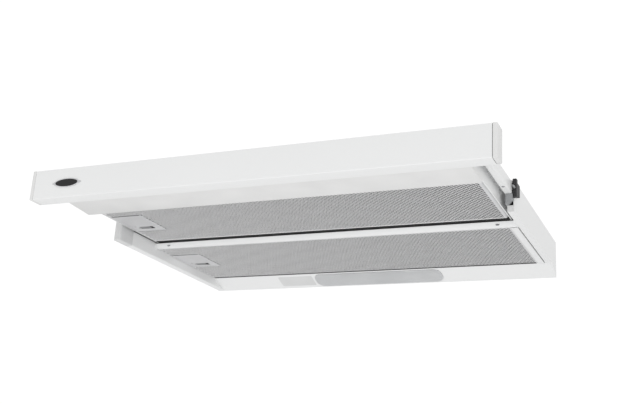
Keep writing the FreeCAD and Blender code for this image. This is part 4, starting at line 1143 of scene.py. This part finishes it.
# ---- upper housing


@dataclass
class Housing(Assembly):
    """The motor housing, its outlet and what drives the air."""

    bead: float = 1.1 * MM
    bead_drop: float = 12 * MM
    flange: float = 6.1 * MM
    screw_radius: float = 3.6 * MM
    screw_inset: float = 4.5 * MM
    corner_gap: float = 30 * MM

    def build(self) -> None:
        """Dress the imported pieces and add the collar's beads and the flange screws."""
        self.dress_nodes(Finish.ZINC, "motor_housing")
        self.dress_nodes(Finish.GREY, "outlet_collar", "flap_left", "flap_right", "blower_scroll",
                         "scroll_cover", "outlet_duct", "fan_wheel")
        self.dress_nodes(Finish.BRIGHT, "flap_pin")
        self.dress_nodes(Finish.MOTOR, "motor_shaft", "motor_body")
        self.dress_nodes(Finish.RUBBER, "motor_grommets")
        self.dress_nodes(Finish.CAP, "capacitor")
        self.dress_nodes(Finish.BLACK, "terminal_box", "cable_gland")
        self.collar_beads()
        self.flange_screws()

    def collar_beads(self) -> None:
        """Roll two beads round the outlet collar."""
        low, high = span("outlet_collar")
        centre = (low + high) / 2
        radius = (high.x - low.x) / 2 - self.flange
        upper, lower = (Workpiece.ring("collar_beads", Vector((*centre.xy, high.z - drop)), radius, thick)
                        for drop, thick in ((self.bead, self.bead), (self.bead_drop, self.bead * 0.8)))
        self.fit(upper.join(lower), "case", Finish.GREY, "grey_plastic")

    def flange_screws(self) -> None:
        """Set the screws that hold the housing's flange to the top plate."""
        low, high = span("motor_housing")
        plate = span("top_plate")[1].z + 1.2 * MM
        inset, gap = self.screw_inset, self.corner_gap
        spots = [(x, y) for x in (low.x + inset, high.x - inset)
                 for y in (low.y + gap, (low.y + high.y) / 2, high.y - gap)]
        spots += [(x * (high.x - low.x) / 2, y) for x in (-0.5, 0.5) for y in (low.y + inset, high.y - inset)]
        first, *others = (screw_head("flange_screw", Vector((x, y, plate)), self.screw_radius, 1.4 * MM, "Z", 1)
                          for x, y in spots)
        self.fit(first.join(*others).rename("flange_screws"), "case", Finish.BRIGHT, "bright_steel")


# ---- studio


@dataclass
class Studio:
    """Floor, light and camera."""

    floor_drop: float = 2.1
    focal: float = 55.95
    eye: Colour = (0.5119, -1.2144, -0.4025)
    right: Colour = (0.9109, 0.4076, 0.0644)
    down: Colour = (-0.0724, 0.3114, -0.9475)
    ahead: Colour = (-0.4063, 0.8584, 0.3131)
    shift: tuple[float, float] = (0.0062, 0.0011)
    ambient: float = 0.79

    def build(self) -> None:
        """Lay the floor, hang the lights and set the camera."""
        self.floor()
        self.sky()
        self.lamp("key", Vector((2.6, -1.6, -0.5)), 2.2, 9.0)
        self.lamp("fill", Vector((-1.8, -2.4, -0.9)), 2.0, 4.0)
        self.lamp("top", Vector((0.4, -0.6, 2.4)), 2.4, 14.0)
        self.lamp("under", Vector((0.1, -0.9, -1.9)), 2.0, 13.0)
        self.camera()

    def floor(self) -> None:
        """Lay a plain pale floor."""
        bpy.ops.object.select_all(action="DESELECT")
        bpy.ops.mesh.primitive_plane_add(size=16.0, location=(0, 0, -self.floor_drop))
        plane = bpy.context.object
        plane.name = "studio_floor"
        graph = Graph("pale_floor")
        cloud = graph.noise(0.8, 2.0)
        plane.data.materials.append(graph.finish(
            Base_Color=graph.blend(cloud, (0.84, 0.84, 0.84), (0.88, 0.88, 0.88)), Roughness=0.8))

    def sky(self) -> None:
        """Surround the object with even white light, on a white ground."""
        world = bpy.data.worlds.new("white_room")
        bpy.context.scene.world = world
        world.use_nodes = True
        tree = world.node_tree
        tree.nodes.clear()
        output = tree.nodes.new("ShaderNodeOutputWorld")
        mix = tree.nodes.new("ShaderNodeMixShader")
        path = tree.nodes.new("ShaderNodeLightPath")
        room, ground = tree.nodes.new("ShaderNodeBackground"), tree.nodes.new("ShaderNodeBackground")
        room.inputs["Strength"].default_value = self.ambient
        ground.inputs["Strength"].default_value = 1.05
        for shade in (room, ground):
            shade.inputs["Color"].default_value = (1.0, 1.0, 1.0, 1.0)
        tree.links.new(path.outputs["Is Camera Ray"], mix.inputs[0])
        tree.links.new(room.outputs[0], mix.inputs[1])
        tree.links.new(ground.outputs[0], mix.inputs[2])
        tree.links.new(mix.outputs[0], output.inputs["Surface"])

    def lamp(self, name: str, where: Vector, size: float, power: float) -> None:
        """Hang one soft square light that faces the hood."""
        data = bpy.data.lights.new(name, "AREA")
        data.size = size
        data.energy = power
        light = bpy.data.objects.new(name, data)
        bpy.context.scene.collection.objects.link(light)
        light.location = where
        light.rotation_euler = (-where).to_track_quat("-Z", "Y").to_euler()

    def camera(self) -> None:
        """Set the camera below, in front of and to the right of the hood."""
        data = bpy.data.cameras.new("camera")
        data.lens = self.focal
        data.sensor_width = 36.0
        data.shift_x, data.shift_y = self.shift
        data.clip_end = 50.0
        camera = bpy.data.objects.new("camera", data)
        bpy.context.scene.collection.objects.link(camera)
        axes = Matrix((self.right, [-part for part in self.down], [-part for part in self.ahead])).transposed()
        camera.matrix_world = Matrix.Translation(self.eye) @ axes.to_4x4()
        bpy.context.scene.camera = camera
        bpy.context.scene.view_settings.view_transform = "Standard"


# ---- main


def main() -> None:
    """Build every sub-assembly in order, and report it."""
    logging.basicConfig(level=logging.INFO, format="%(message)s")
    shop = Paintshop()
    assemblies: list[Assembly] = [
        Case(shop), Lamp(shop), Fascia(shop), FrontBar(shop), SliderFrame(shop),
        MeshFilter(shop), MeshFilter(shop, "rear_filter", "rear_filter", "rear_latch", True), Housing(shop)]
    for assembly in assemblies:
        assembly.build()
        LOG.info("%s: %d new pieces", type(assembly).__name__, assembly.count)
    Studio().build()


if __name__ == "__main__":
    main()
